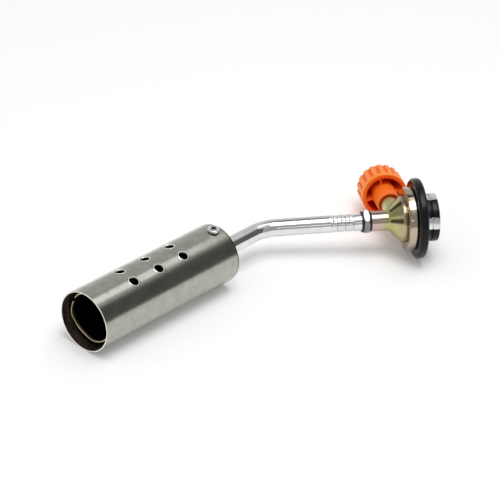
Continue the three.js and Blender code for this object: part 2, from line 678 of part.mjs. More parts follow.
// A hollow cap open towards the handle, with a long hub inside it on four webs.
function knob() {
  const shellStart = KNOB_NEAR + 0.5;
  const outside = KNOB_RADIUS - 0.3;
  const shell = turned([
    [KNOB_NEAR, KNOB_BORE], [KNOB_NEAR, KNOB_RADIUS - 0.5], [shellStart, KNOB_RADIUS],
    [KNOB_NEAR + KNOB_COLLAR, KNOB_RADIUS], [KNOB_NEAR + KNOB_COLLAR + 0.4, outside],
    [KNOB_END - 1.6, outside], [KNOB_END, KNOB_RADIUS - 1.6], [KNOB_END, CAP_RADIUS + GAP],
    [RECESS_FLOOR, CAP_RADIUS + GAP], [RECESS_FLOOR, STEM_RADIUS + GAP], [50, STEM_RADIUS + GAP],
    [50, BOSS_RADIUS + GAP], [KNOB_HUB_START, BOSS_RADIUS + GAP], [KNOB_HUB_START, KNOB_HUB_RADIUS],
    [KNOB_FLOOR, KNOB_HUB_RADIUS + 0.3], [KNOB_FLOOR, KNOB_BORE],
  ], ROUND + 14);
  return join(shell, ...knobRibs(), ...knobWebs());
}

function knobScrew() {
  return panScrew(3, 1.5, SCREW_RADIUS, 7.5).translate(RECESS_FLOOR + GAP, 0, 0);
}

function knobCap() {
  const top = KNOB_END;
  return turned([
    [top - 1.1, 0], [top - 1.1, CAP_RADIUS], [top - 0.3, CAP_RADIUS], [top, CAP_RADIUS - 0.6], [top, 0],
  ], SMALL);
}

function makeValve() {
  const valve = new THREE.Group();
  valve.name = 'valve_axis';
  valve.position.x = KNOB_ALONG;
  valve.rotation.set(KNOB_TILT, 0, Math.PI / 2);
  addPart(valve, 'gland_nut', glandNut(), BRASS);
  addPart(valve, 'valve_stem', valveStem(), BRIGHT_STEEL);
  addPart(valve, 'stem_o_ring', stemRing(), BLACK_RUBBER);
  addPart(valve, 'knob', knob(), ORANGE_PLASTIC);
  addPart(valve, 'knob_screw', knobScrew(), BRIGHT_STEEL);
  addPart(valve, 'knob_cap', knobCap(), ORANGE_PLASTIC);
  return valve;
}

// ---------------------------------------------------------------- the torch at rest
// It lies on the burner's lowest line and on the edge of the lock base: the burner's axis is level,
// and the handle climbs just enough for the wider lock base to touch the same surface.

function layDown(handle) {
  const reach = Math.hypot(FLANGE_START + 1.2, FLANGE_RADIUS);
  const climb = Math.atan2(FLANGE_RADIUS, FLANGE_START + 1.2) - Math.asin(SLEEVE_RADIUS / reach);
  const roll = -Math.asin(Math.tan(climb) / Math.tan(BEND_ANGLE));
  handle.rotation.set(roll, -climb, 0, 'YXZ');
}

// The origin is under the middle of the torch's box, on the surface that it lies on.
function centreOnFloor(whole) {
  whole.updateMatrixWorld(true);
  const box = new THREE.Box3().setFromObject(whole, true);
  const middle = box.getCenter(new THREE.Vector3());
  whole.children[0].position.set(-middle.x, -middle.y, -box.min.z);
}

function makeTorch() {
  const handle = new THREE.Group();
  handle.name = 'handle_axis';
  addHandle(handle);
  handle.add(makeBurner(), makeValve());
  layDown(handle);
  const torch = new THREE.Group();
  torch.add(handle);
  centreOnFloor(torch);
  return torch;
}

const torch = makeTorch();

export default torch;
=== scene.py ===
"""The looks of a hand torch for a gas cartridge, lying at rest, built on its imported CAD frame.

Each piece is drawn in millimetres along its own axis, and is then placed in the shared frame, which
is in metres. The burner, the handle and the valve have an axis each, and the gas tube joins two of them.
"""

import json
import math

import bmesh
import bpy
import numpy as np
from mathutils import Matrix, Vector


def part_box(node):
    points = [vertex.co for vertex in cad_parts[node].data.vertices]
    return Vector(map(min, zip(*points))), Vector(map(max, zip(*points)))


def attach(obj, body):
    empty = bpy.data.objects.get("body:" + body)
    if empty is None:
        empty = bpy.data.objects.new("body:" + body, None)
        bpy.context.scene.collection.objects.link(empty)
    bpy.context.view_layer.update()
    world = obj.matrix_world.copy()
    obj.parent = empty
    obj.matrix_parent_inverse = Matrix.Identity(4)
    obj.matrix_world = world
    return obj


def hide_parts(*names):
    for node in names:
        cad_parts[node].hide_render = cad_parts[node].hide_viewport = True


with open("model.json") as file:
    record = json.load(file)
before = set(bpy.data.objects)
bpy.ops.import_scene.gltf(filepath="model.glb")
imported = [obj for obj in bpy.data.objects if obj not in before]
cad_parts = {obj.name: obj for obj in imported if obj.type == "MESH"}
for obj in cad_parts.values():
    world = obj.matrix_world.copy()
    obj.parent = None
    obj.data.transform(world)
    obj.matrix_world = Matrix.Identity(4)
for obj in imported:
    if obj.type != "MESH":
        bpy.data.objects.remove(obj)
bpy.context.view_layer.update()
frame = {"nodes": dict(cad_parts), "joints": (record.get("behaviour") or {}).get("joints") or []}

# ---- driving dimensions, in millimetres

MM = 0.001
FULL_TURN = 2 * math.pi

BURNER_RADIUS = 19.0
BURNER_LENGTH = 114.0
SLEEVE_WALL = 0.8
SLEEVE_BORE = BURNER_RADIUS - SLEEVE_WALL
BURNER_TO_BEND = 43.2  # back of the burner to the crossing of the two axes
BEND_ANGLE = math.radians(40)
BEND_RADIUS = 26.0
TUBE_RADIUS = 5.5
HANDLE_LENGTH = 63.1  # crossing to the end of the gas tube
KNOB_ALONG = 86.1  # crossing to the valve axis
KNOB_RADIUS = 15.0
KNOB_NEAR = 39.7  # handle axis to the knob's open rim
KNOB_LENGTH = 19.7
KNOB_HUB_RADIUS = 7.7
KNOB_BORE = 12.2
GROOVE_DEPTH = 1.3  # of the grooves between the knob's ribs
FLANGE_RADIUS = 25.4
FLANGE_START = 95.3
FLANGE_THICKNESS = 5.6
HUB_END = 110.0
HOLDER_MIDDLE = 35.0  # mouth of the burner to the middle of the flame holder
RING_MIDDLE = HANDLE_LENGTH - 0.4
FLAME_TUBE_START = 6.1  # behind the mouth of the burner
GAP = 0.3

# ---- the three axes


def centre(node):
    low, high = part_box(node)
    return (low + high) / 2


def axes(origin, along, across):
    """Millimetres with X along and Y on the side of across, placed at origin in the shared frame."""
    x = along.normalized()
    z = x.cross(across).normalized()
    y = z.cross(x)
    place = Matrix((x, y, z)).transposed().to_4x4()
    place.translation = origin
    return place @ Matrix.Scale(MM, 4)


handle_way = (centre("inlet_seal") - centre("front_seal_ring")).normalized()
burner_way = (centre("jet_filter") - centre("flame_holder")).normalized()
valve_way = Vector(next(joint["axis"] for joint in frame["joints"] if joint["name"] == "knob_turn"))
crossing = centre("front_seal_ring") - handle_way * RING_MIDDLE * MM
mouth = centre("flame_holder") - burner_way * HOLDER_MIDDLE * MM

HANDLE = axes(crossing, handle_way, burner_way)
BURNER = axes(mouth, burner_way, -handle_way)
VALVE = axes(crossing + handle_way * KNOB_ALONG * MM, valve_way, -handle_way)

# ---- shaping helpers
# A shape is a pair: an array of vertices and a list of faces.


def rounded(outline, ease=0.3, steps=3):
    """A closed outline with its corners eased. A point may carry its own ease as a third value."""
    result = []
    count = len(outline)
    for index, corner in enumerate(outline):
        point = Vector(corner[:2])
        size = corner[2] if len(corner) > 2 else ease
        before = Vector(outline[index - 1][:2]) - point
        after = Vector(outline[(index + 1) % count][:2]) - point
        reach = min(size, before.length * 0.45, after.length * 0.45)
        if reach < 1e-4 or point.y < 1e-6:
            result.append(tuple(point))
            continue
        start = point + before.normalized() * reach
        end = point + after.normalized() * reach
        for step in range(steps + 1):
            t = step / steps
            eased = start * (1 - t) ** 2 + point * (2 * t * (1 - t)) + end * t ** 2
            result.append(tuple(eased))
    return result


def finely(start, end, pitch):
    """Points from start up to end, about pitch apart, without the end itself."""
    steps = max(1, round(abs(end - start) / pitch))
    return [start + (end - start) * step / steps for step in range(steps)]


def turned(outline, facets, shape=None, first=0.0, sweep=FULL_TURN):
    """A closed outline of (along, radius) turned about X. shape(angle, along, radius) may move its points."""
    count = len(outline)
    whole = sweep > FULL_TURN - 1e-6
    rings = facets if whole else facets + 1
    angle = (first + sweep * np.arange(rings) / facets)[:, None]
    along, radius = np.array(outline, float).T
    along = np.repeat(along[None, :], rings, axis=0)
    radius = np.repeat(radius[None, :], rings, axis=0)
    if shape:
        along, radius = shape(angle, along, radius)
    vertices = np.stack([along, radius * np.cos(angle), radius * np.sin(angle)], axis=-1)
    on_axis = [point[1] < 1e-6 for point in outline]
    faces = []
    for ring in range(facets):
        here = ring * count
        there = (ring + 1) % rings * count
        for index in range(count):
            after = (index + 1) % count
            if not (on_axis[index] and on_axis[after]):
                faces.append((here + index, here + after, there + after, there + index))
    if not whole:
        faces.append(tuple(range(count)))
        faces.append(tuple(range(facets * count, facets * count + count)))
    return vertices.reshape(-1, 3), faces


def prism(outline, width, ease):
    """A flat outline in (X, Y) given a width across Z, with its edges eased."""
    mesh = bmesh.new()
    face = mesh.faces.new([mesh.verts.new((x, y, -width / 2)) for x, y in outline])
    grown = bmesh.ops.extrude_face_region(mesh, geom=[face])
    top = [item for item in grown["geom"] if isinstance(item, bmesh.types.BMVert)]
    bmesh.ops.translate(mesh, verts=top, vec=(0, 0, width))
    bmesh.ops.recalc_face_normals(mesh, faces=mesh.faces)
    bmesh.ops.bevel(mesh, geom=mesh.edges[:], offset=ease, segments=2, affect="EDGES", profile=0.5)
    mesh.verts.index_update()
    vertices = np.array([vertex.co[:] for vertex in mesh.verts])
    faces = [tuple(vertex.index for vertex in face.verts) for face in mesh.faces]
    mesh.free()
    return vertices, faces


def moved(shape, matrix):
    vertices, faces = shape
    turn = np.array(matrix.to_3x3())
    return vertices @ turn.T + np.array(matrix.translation), faces


def rolled(shape, angle):
    """A shape turned about its own X axis."""
    return moved(shape, Matrix.Rotation(angle, 4, "X"))


def together(*shapes):
    vertices, faces, start = [], [], 0
    for points, sides in shapes:
        vertices.append(points)
        faces += [tuple(start + index for index in side) for side in sides]
        start += len(points)
    return np.concatenate(vertices), faces


def smoothly(value, low, high):
    t = np.clip((value - low) / (high - low), 0, 1)
    return t * t * (3 - 2 * t)


def spread(count, first=0.0):
    """Angles evenly round a circle."""
    return [first + FULL_TURN * step / count for step in range(count)]


MERGE_WITHIN = 0.002 * MM  # points closer than this are one
CREASE = 38  # an edge is shaded sharp where its faces meet at more than this many degrees


def new_mesh(name, shape):
    """A Blender mesh of a shape, with its doubled points merged and its faces pointing out."""
    vertices, faces = shape
    data = bpy.data.meshes.new(name)
    data.from_pydata(vertices.tolist(), [], faces)
    mesh = bmesh.new()
    mesh.from_mesh(data)
    bmesh.ops.remove_doubles(mesh, verts=mesh.verts, dist=MERGE_WITHIN)
    bmesh.ops.recalc_face_normals(mesh, faces=mesh.faces)
    mesh.to_mesh(data)
    mesh.free()
    return data


def new_object(name, data):
    item = bpy.data.objects.new(name, data)
    bpy.context.scene.collection.objects.link(item)
    return item


def shade(data, crease=CREASE):
    data.shade_smooth()
    data.set_sharp_from_angle(angle=math.radians(crease))


def piece(name, shape, place, material, node, body="torch", crease=CREASE):
    """Puts a shape into the scene as a piece that rides on a CAD body and stands for one of its nodes."""
    data = new_mesh(name, moved(shape, place))
    shade(data, crease)
    data.materials.append(material)
    item = new_object(name, data)
    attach(item, body)
    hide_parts(node)
    return item


# ---- material helpers


def add(tree, kind, values=None, **settings):
    """Adds a shader node. values fills its sockets with numbers or with links from other sockets."""
    node = tree.nodes.new("ShaderNode" + kind)
    for key, value in settings.items():
        setattr(node, key, value)
    for socket, value in (values or {}).items():
        if isinstance(value, bpy.types.NodeSocket):
            tree.links.new(value, node.inputs[socket])
        else:
            node.inputs[socket].default_value = value
    return node


def new_material(name, place, **sockets):
    """A material with plain values on its shader's sockets, and the shaded point in place's millimetres."""
    material = bpy.data.materials.new(name)
    material.use_nodes = True
    tree = material.node_tree
    shader = tree.nodes["Principled BSDF"]
    for socket, value in sockets.items():
        shader.inputs[socket.replace("_", " ")].default_value = value
    where = add(tree, "TexCoord").outputs["Object"]
    turn = place.to_3x3().normalized().to_euler()
    mapping = add(tree, "Mapping", {
        "Vector": where, "Location": place.translation, "Rotation": turn, "Scale": (MM, MM, MM),
    }, vector_type="TEXTURE")
    return material, tree, shader, mapping.outputs["Vector"]


def noise(tree, point, scale, detail=3.0, roughness=0.5, stretch=None):
    if stretch:
        point = add(tree, "VectorMath", {0: point, 1: stretch}, operation="MULTIPLY").outputs[0]
    values = {"Vector": point, "Scale": scale, "Detail": detail, "Roughness": roughness}
    return add(tree, "TexNoise", values).outputs["Fac"]


def remap(tree, value, low, high, new_low, new_high):
    """Eases from new_low to new_high as value goes from low to high."""
    node = add(tree, "MapRange", {
        "Value": value, "From Min": low, "From Max": high, "To Min": new_low, "To Max": new_high,
    }, interpolation_type="SMOOTHSTEP")
    return node.outputs["Result"]


def patches(tree, point, scale, low=0.35, high=0.65, detail=3.0, roughness=0.5):
    """Soft patches from 0 to 1, larger for a smaller scale."""
    return remap(tree, noise(tree, point, scale, detail, roughness), low, high, 0.0, 1.0)


def calculate(tree, operation, *values):
    return add(tree, "Math", dict(enumerate(values)), operation=operation).outputs[0]


def blend_colours(tree, share, first, second):
    node = add(tree, "Mix", {"Factor": share}, data_type="RGBA")
    for socket, value in ((node.inputs[6], first), (node.inputs[7], second)):
        if isinstance(value, bpy.types.NodeSocket):
            tree.links.new(value, socket)
        else:
            socket.default_value = (*value, 1.0)
    return node.outputs[2]


def ramp(tree, value, stops):
    """Colours along a value: stops is a list of (position, colour)."""
    node = add(tree, "ValToRGB", {"Fac": value})
    elements = node.color_ramp.elements
    while len(elements) < len(stops):
        elements.new(1.0)
    for element, (position, colour) in zip(elements, stops):
        element.position = position
        element.color = (*colour, 1.0)
    return node.outputs["Color"]


def distance_along(tree, point):
    return add(tree, "SeparateXYZ", {"Vector": point}).outputs["X"]


def distance_from_axis(tree, point):
    parts = add(tree, "SeparateXYZ", {"Vector": point}).outputs
    flat = add(tree, "CombineXYZ", {"Y": parts["Y"], "Z": parts["Z"]}).outputs[0]
    return add(tree, "VectorMath", {0: flat}, operation="LENGTH").outputs["Value"]


def paint(tree, shader, colour):
    tree.links.new(colour, shader.inputs["Base Color"])


def roughen(tree, shader, value, least, most, low=0.3, high=0.7):
    """Roughness from least to most as value goes from low to high, the range that most noise is in."""
    tree.links.new(remap(tree, value, low, high, least, most), shader.inputs["Roughness"])


def raise_by(tree, shader, height, depth):
    """Bumps the surface by height, where a height of 1 stands for depth millimetres."""
    bump = add(tree, "Bump", {"Height": height, "Strength": 1.0, "Distance": depth * MM})
    tree.links.new(bump.outputs["Normal"], shader.inputs["Normal"])


def metal(name, place, tints, gloss, depth, grain=(1.0, 1.0, 1.0), grain_scale=2.0, patch=0.07):
    """A metal whose tint drifts in soft patches and whose fine grain roughens and bumps it."""
    material, tree, shader, point = new_material(name, place, Metallic=1.0)
    drift = patches(tree, point, patch, detail=4.0)
    paint(tree, shader, blend_colours(tree, drift, *tints))
    fine = noise(tree, point, grain_scale, detail=5.0, roughness=0.65, stretch=grain)
    roughen(tree, shader, fine, *gloss)
    raise_by(tree, shader, fine, depth)
    return material


# ---- materials


def stainless_finish():
    """Satin stainless sheet with faint warm patches, browned inside the burner, and near white where it is
    cut: paler cut metal with a painted highlight on the rims and burrs.
    """
    material, tree, shader, point = new_material("stainless_sheet", BURNER, Metallic=1.0)
    radius = distance_from_axis(tree, point)
    patch = patches(tree, point, 0.16, detail=6.0, roughness=0.6)
    outside = blend_colours(tree, patch, (0.44, 0.43, 0.39), (0.37, 0.38, 0.325))
    soot = patches(tree, point, 0.25, 0.3, 0.7, detail=5.0)
    inside = blend_colours(tree, soot, (0.24, 0.19, 0.175), (0.13, 0.10, 0.10))
    # The hole walls, ends, chamfers and burrs are painted near white: paler cut metal, lightened further as a
    # painted highlight round every hole.
    under_skin = remap(tree, radius, BURNER_RADIUS - 0.10, BURNER_RADIUS - 0.03, 1.0, 0.0)
    on_burr = remap(tree, radius, BURNER_RADIUS + 0.01, BURNER_RADIUS + 0.05, 0.0, 1.0)
    cut = calculate(tree, "ADD", under_skin, on_burr)
    bore_skin = (SLEEVE_BORE + 0.02, SLEEVE_BORE + 0.08)
    off_bore = remap(tree, radius, *bore_skin, 0.0, 1.0)
    metal_colour = blend_colours(tree, cut, outside, (0.95, 0.94, 0.91))
    paint(tree, shader, blend_colours(tree, off_bore, inside, metal_colour))
    drawn = noise(tree, point, 1.6, detail=6.0, roughness=0.6, stretch=(0.04, 1.0, 1.0))
    fine = remap(tree, drawn, 0.3, 0.7, 0.15, 0.21)
    sooty = remap(tree, radius, *bore_skin, 0.25, 0.0)
    torn = calculate(tree, "MULTIPLY", calculate(tree, "MULTIPLY", cut, off_bore), 0.4)
    rough = calculate(tree, "ADD", calculate(tree, "ADD", fine, sooty), torn)
    tree.links.new(rough, shader.inputs["Roughness"])
    ripple = noise(tree, point, 0.10, detail=1.5)
    height = calculate(tree, "ADD", calculate(tree, "MULTIPLY", ripple, 6.0), drawn)
    raise_by(tree, shader, height, 0.0016)
    return material


def heat_tint_finish():
    """Steel that has run hot: straw on its front lip, and black with soot behind it."""
    material, tree, shader, point = new_material("heat_tinted_sheet", BURNER, Metallic=1.0)
    along = distance_along(tree, point)
    wander = calculate(tree, "MULTIPLY", noise(tree, point, 0.2, detail=4.0), 9.0)
    depth = remap(tree, calculate(tree, "ADD", along, wander), 8.0, 40.0, 0.0, 1.0)
    tint = ramp(tree, depth, [(0.0, (1.0, 0.90, 0.60)), (0.25, (0.62, 0.46, 0.22))])
    sooty = remap(tree, along, FLAME_TUBE_START + 1.0, FLAME_TUBE_START + 2.4, 0.0, 1.0)
    paint(tree, shader, blend_colours(tree, sooty, tint, (0.009, 0.008, 0.008)))
    grain = noise(tree, point, 1.6, detail=6.0, roughness=0.7)
    roughen(tree, shader, grain, 0.25, 0.45)
    raise_by(tree, shader, grain, 0.01)
    return material


def plated_body_finish():
    """Yellow passivated plating: pinkish on the neck and rim, greener on the flare, dark brown in the groove
    before the rim as painted shade, over turning marks.
    """
    material, tree, shader, point = new_material("yellow_plating", HANDLE, Metallic=1.0)
    along = distance_along(tree, point)
    wander = calculate(tree, "MULTIPLY", noise(tree, point, 0.14, detail=3.0), 12.0)
    place = remap(tree, calculate(tree, "ADD", along, wander), 74.0, 102.0, 0.0, 1.0)
    # The dark brown stop at 0.85 falls on the groove between the flare and the rim: painted shade.
    tint = ramp(tree, place, [
        (0.0, (0.57, 0.43, 0.40)), (0.20, (0.55, 0.43, 0.35)), (0.36, (0.45, 0.43, 0.18)),
        (0.62, (0.48, 0.46, 0.21)), (0.76, (0.46, 0.39, 0.24)), (0.85, (0.34, 0.24, 0.15)),
        (0.92, (0.49, 0.43, 0.32)), (1.0, (0.48, 0.39, 0.32)),
    ])
    paint(tree, shader, tint)
    rings = noise(tree, point, 1.0, detail=4.0, stretch=(6.0, 0.05, 0.05))
    roughen(tree, shader, rings, 0.08, 0.18)
    raise_by(tree, shader, rings, 0.004)
    return material


def screw_finish():
    """Bright zinc, painted near black where the surface is boxed in, as in a screw's cross recess: painted
    shade.
    """
    material, tree, shader, point = new_material("zinc_with_painted_recess_shade", BURNER, Metallic=1.0)
    # Painted shade: ambient occlusion darkens the cross recess and where the head meets what it stands on.
    openness = add(tree, "AmbientOcclusion", {"Distance": 1.5 * MM}, samples=8).outputs["AO"]
    out_of_painted_shade = remap(tree, openness, 0.45, 0.85, 0.0, 1.0)
    wear = patches(tree, point, 0.9, detail=5.0)
    zinc = blend_colours(tree, wear, (0.92, 0.92, 0.91), (0.76, 0.77, 0.77))
    paint(tree, shader, blend_colours(tree, out_of_painted_shade, (0.04, 0.038, 0.035), zinc))
    roughen(tree, shader, wear, 0.18, 0.34, 0.0, 1.0)
    raise_by(tree, shader, noise(tree, point, 2.5, detail=4.0), 0.006)
    return material


def chrome_finish():
    """Bright chrome with the slight waviness of drawn tube."""
    material, tree, shader, point = new_material("chrome_plating", HANDLE, Metallic=1.0)
    drift = patches(tree, point, 0.12)
    paint(tree, shader, blend_colours(tree, drift, (0.79, 0.79, 0.79), (0.73, 0.74, 0.74)))
    smear = noise(tree, point, 0.6, detail=5.0, stretch=(0.3, 1.0, 1.0))
    roughen(tree, shader, smear, 0.05, 0.14, 0.3, 0.75)
    raise_by(tree, shader, noise(tree, point, 0.25, detail=2.0), 0.006)
    return material


def orange_finish():
    """Moulded orange plastic: faint flow patches, paler on its sharper edges, painted shade in the grooves
    between its ribs, and a painted glow inside it.
    """
    material, tree, shader, point = new_material(
        "orange_moulding", VALVE, Specular_IOR_Level=0.35, IOR=1.49,
        Subsurface_Weight=0.4, Subsurface_Scale=0.004, Subsurface_Radius=(1.0, 0.25, 0.06),
    )
    flow = patches(tree, point, 0.12, 0.3, 0.7)
    colour = blend_colours(tree, flow, (1.0, 0.265, 0.014), (0.98, 0.23, 0.010))
    radius = distance_from_axis(tree, point)
    # Painted shade: the groove floors between the ribs are painted a darker red.
    shaded = remap(tree, radius, KNOB_RADIUS - GROOVE_DEPTH, KNOB_RADIUS - 0.25, 0.75, 0.0)
    colour = blend_colours(tree, shaded, colour, (0.90, 0.075, 0.006))
    # Painted glow: the inner wall is painted deep red and the hub red orange, for the light that shines
    # through the plastic and bounces inside the knob.
    inside = remap(tree, radius, KNOB_BORE, KNOB_BORE + 0.4, 1.0, 0.0)
    colour = blend_colours(tree, inside, colour, (1.0, 0.11, 0.004))
    hub = remap(tree, radius, KNOB_HUB_RADIUS + 0.1, KNOB_HUB_RADIUS + 0.6, 1.0, 0.0)
    colour = blend_colours(tree, hub, colour, (1.0, 0.17, 0.010))
    # Paler on the sharper edges, found by pointiness.
    edge = add(tree, "NewGeometry").outputs["Pointiness"]
    paler_edge = remap(tree, edge, 0.54, 0.62, 0.0, 0.4)
    paint(tree, shader, blend_colours(tree, paler_edge, colour, (1.0, 0.32, 0.06)))
    sheen = noise(tree, point, 3.0, detail=4.0)
    roughen(tree, shader, sheen, 0.34, 0.46)
    raise_by(tree, shader, sheen, 0.012)
    return material


def nylon_finish():
    """Black glass-filled nylon with a fine moulded texture, and a painted highlight, a lighter brownish grey,
    on its edges.
    """
    material, tree, shader, point = new_material(
        "black_nylon_moulding", HANDLE, Specular_IOR_Level=0.2, IOR=1.5,
    )
    # Painted highlight: the sharper edges, found by pointiness, are painted a lighter brownish grey.
    edge = add(tree, "NewGeometry").outputs["Pointiness"]
    painted_edge_highlight = remap(tree, edge, 0.55, 0.66, 0.0, 0.6)
    paint(tree, shader, blend_colours(tree, painted_edge_highlight, (0.005, 0.005, 0.006), (0.08, 0.055, 0.045)))
    texture = noise(tree, point, 3.5, detail=4.0, roughness=0.6)
    roughen(tree, shader, texture, 0.12, 0.30)
    raise_by(tree, shader, texture, 0.035)
    return material


def rubber_finish():
    """Black rubber with a little dust on it."""
    material, tree, shader, point = new_material("black_rubber_ring", HANDLE, IOR=1.5)
    dust = remap(tree, noise(tree, point, 0.6, detail=5.0), 0.5, 0.75, 0.0, 0.5)
    paint(tree, shader, blend_colours(tree, dust, (0.008, 0.008, 0.009), (0.05, 0.047, 0.045)))
    roughen(tree, shader, dust, 0.45, 0.65, 0.0, 0.5)
    raise_by(tree, shader, noise(tree, point, 4.0, detail=3.0), 0.015)
    return material


def bronze_finish():
    """Sintered bronze: beads pressed together, lighter at each bead's middle and darker out to the gaps
    between beads as painted shade.
    """
    material, tree, shader, point = new_material("sintered_bronze_beads", BURNER, Metallic=1.0)
    cells = add(tree, "TexVoronoi", {"Vector": point, "Scale": 4.0}).outputs["Distance"]
    # Painted shade: the colour darkens from a bead's middle to the gaps between beads.
    paint(tree, shader, ramp(tree, cells, [(0.0, (0.48, 0.33, 0.17)), (0.7, (0.16, 0.10, 0.06))]))
    roughen(tree, shader, cells, 0.4, 0.8, 0.0, 0.7)
    raise_by(tree, shader, calculate(tree, "SUBTRACT", 1.0, cells), 0.06)
    return material


stainless = stainless_finish()
heat_tinted = heat_tint_finish()
yellow_plating = plated_body_finish()
chrome = chrome_finish()
screw_zinc = screw_finish()
orange = orange_finish()
nylon = nylon_finish()
rubber = rubber_finish()
bronze = bronze_finish()
brass = metal(
    "turned_brass", HANDLE, ((0.75, 0.56, 0.27), (0.62, 0.43, 0.19)), (0.18, 0.34), 0.006,
    grain=(3.0, 0.2, 0.2),
)
nut_steel = metal(
    "nickel_nut", HANDLE, ((0.27, 0.27, 0.28), (0.22, 0.22, 0.22)), (0.10, 0.18), 0.004,
    grain=(0.5, 1.0, 1.0), grain_scale=1.5, patch=0.2,
)
plated_steel = metal(
    "zinc_plated_steel", HANDLE, ((0.80, 0.80, 0.80), (0.68, 0.69, 0.69)), (0.16, 0.30), 0.006,
    grain_scale=1.8, patch=0.18,
)
# Painted shade: the burner's back cup is painted near black steel for the dark line that shade draws behind
# the sleeve's back end.
painted_shade_steel = metal(
    "steel_darkened_as_shade", BURNER, ((0.14, 0.135, 0.13), (0.07, 0.065, 0.065)), (0.30, 0.45), 0.008,
    grain_scale=1.5, patch=0.12,
)

# ---- burner

BASE_LIP = 0.8  # of the burner base, behind the end of the sleeve
SLEEVE_LENGTH = BURNER_LENGTH - BASE_LIP - GAP
HOLE_RADIUS = 3.0
HOLE_ROWS = [33.0, 54.0, 75.0]
HOLE_FIELDS = (100, 280)  # degrees round the sleeve to the middle of each field of holes
HOLE_OFFSET = 18.3  # degrees from there to its two lines of holes
HOLE_ANGLES = [math.radians(middle + side * HOLE_OFFSET) for middle in HOLE_FIELDS for side in (-1, 1)]
HOLE_CENTRES = [(along, angle * BURNER_RADIUS) for along in HOLE_ROWS for angle in HOLE_ANGLES]
HOLE_REACH = 4.6  # half of the square of sheet that is meshed round a hole
HOLE_STEPS = 8  # mesh steps along a side of that square
SHEET_PITCH = 1.2
EDGE_EASE = 0.22
BURR_WIDTH = 0.6  # of the raised edge that the punch left round each hole
BURR_HEIGHT = 0.16


def sheet_lines(length, middles):
    """Mesh lines across a sheet: even steps, and HOLE_STEPS of them over each hole's square."""
    lines = [0.0]
    for middle in sorted(middles):
        lines += finely(lines.pop(), middle - HOLE_REACH, SHEET_PITCH)
        lines += finely(middle - HOLE_REACH, middle + HOLE_REACH, 2 * HOLE_REACH / HOLE_STEPS)
        lines.append(middle + HOLE_REACH)
    return lines + finely(lines.pop(), length, SHEET_PITCH)


class Sheet:
    """The sleeve unrolled: points are (along, around, depth below the outer skin)."""

    def __init__(self):
        self.points = []
        self.faces = []
        self.rows = sheet_lines(SLEEVE_LENGTH - EDGE_EASE, HOLE_ROWS)
        self.rows[0] = EDGE_EASE
        self.rows.append(SLEEVE_LENGTH - EDGE_EASE)
        around = [angle * BURNER_RADIUS for angle in HOLE_ANGLES]
        self.columns = sheet_lines(FULL_TURN * BURNER_RADIUS, around)

    def add_point(self, along, around, depth):
        self.points.append((along, around, depth))
        return len(self.points) - 1

    def join_loops(self, first, second):
        for index in range(len(first)):
            after = (index + 1) % len(first)
            self.faces.append((first[index], first[after], second[after], second[index]))

    def add_ring(self, loop, outer, middle, radius, depth, share=1.0):
        """A ring that is share of the way from outer in to a circle round middle. It is joined to loop."""
        ring = []
        for index in outer:
            offset = Vector(self.points[index][:2]) - Vector(middle)
            spot = offset.lerp(offset.normalized() * radius, share)
            ring.append(self.add_point(middle[0] + spot.x, middle[1] + spot.y, depth))
        self.join_loops(loop, ring)
        return ring

    def skin(self, depth, ease):
        """One side of the sheet. Returns its two end loops and the loop round each hole."""
        rows, columns = self.rows, self.columns
        grid = [[self.add_point(along, around, depth) for around in columns] for along in rows]
        corners = []
        for along, around in HOLE_CENTRES:
            row = int(np.argmin(np.abs(np.array(rows) - (along - HOLE_REACH))))
            column = int(np.argmin(np.abs(np.array(columns) - (around - HOLE_REACH))))
            corners.append((row, column))
        covered = {
            (row + i, column + j)
            for row, column in corners for i in range(HOLE_STEPS) for j in range(HOLE_STEPS)
        }
        for row in range(len(rows) - 1):
            for column in range(len(columns)):
                if (row, column) not in covered:
                    after = (column + 1) % len(columns)
                    here, there = grid[row], grid[row + 1]
                    self.faces.append((here[column], here[after], there[after], there[column]))
        loops = [
            self.hole_rings(grid, corner, middle, depth, HOLE_RADIUS + ease)
            for corner, middle in zip(corners, HOLE_CENTRES)
        ]
        return grid[0], grid[-1], loops

    def hole_rings(self, grid, corner, middle, depth, radius):
        """Fills a hole's square from its border in to the hole's edge. Returns that edge's loop."""
        row, column = corner
        last = HOLE_STEPS
        border = (
            [(row, column + k) for k in range(last)]
            + [(row + k, column + last) for k in range(last)]
            + [(row + last, column + last - k) for k in range(last)]
            + [(row + last - k, column) for k in range(last)]
        )
        outer = [grid[i][j % len(self.columns)] for i, j in border]
        loop = outer
        for share in (0.4, 0.75, 1.0):
            loop = self.add_ring(loop, outer, middle, radius, depth, share)
        return loop

    def close_hole(self, outer, inner, middle):
        """The burr that the punch raised round a hole, the hole's wall and its inner chamfer."""
        loop = outer
        steps = (
            (BURR_WIDTH * 0.75, -BURR_HEIGHT * 0.7), (BURR_WIDTH * 0.45, -BURR_HEIGHT),
            (BURR_WIDTH * 0.1, 0), (0, EDGE_EASE), (0, SLEEVE_WALL - EDGE_EASE),
        )
        for reach, depth in steps:
            loop = self.add_ring(loop, outer, middle, HOLE_RADIUS + reach, depth)
        self.join_loops(loop, inner)

    def close_end(self, outer, inner, along):
        loop = outer
        for depth in (EDGE_EASE, SLEEVE_WALL - EDGE_EASE):
            ring = [self.add_point(along, self.points[index][1], depth) for index in outer]
            self.join_loops(loop, ring)
            loop = ring
        self.join_loops(loop, inner)

    def rolled_up(self):
        along, around, depth = np.array(self.points).T
        angle = around / BURNER_RADIUS
        radius = BURNER_RADIUS - depth
        vertices = np.stack([along, radius * np.cos(angle), radius * np.sin(angle)], axis=-1)
        return vertices, self.faces


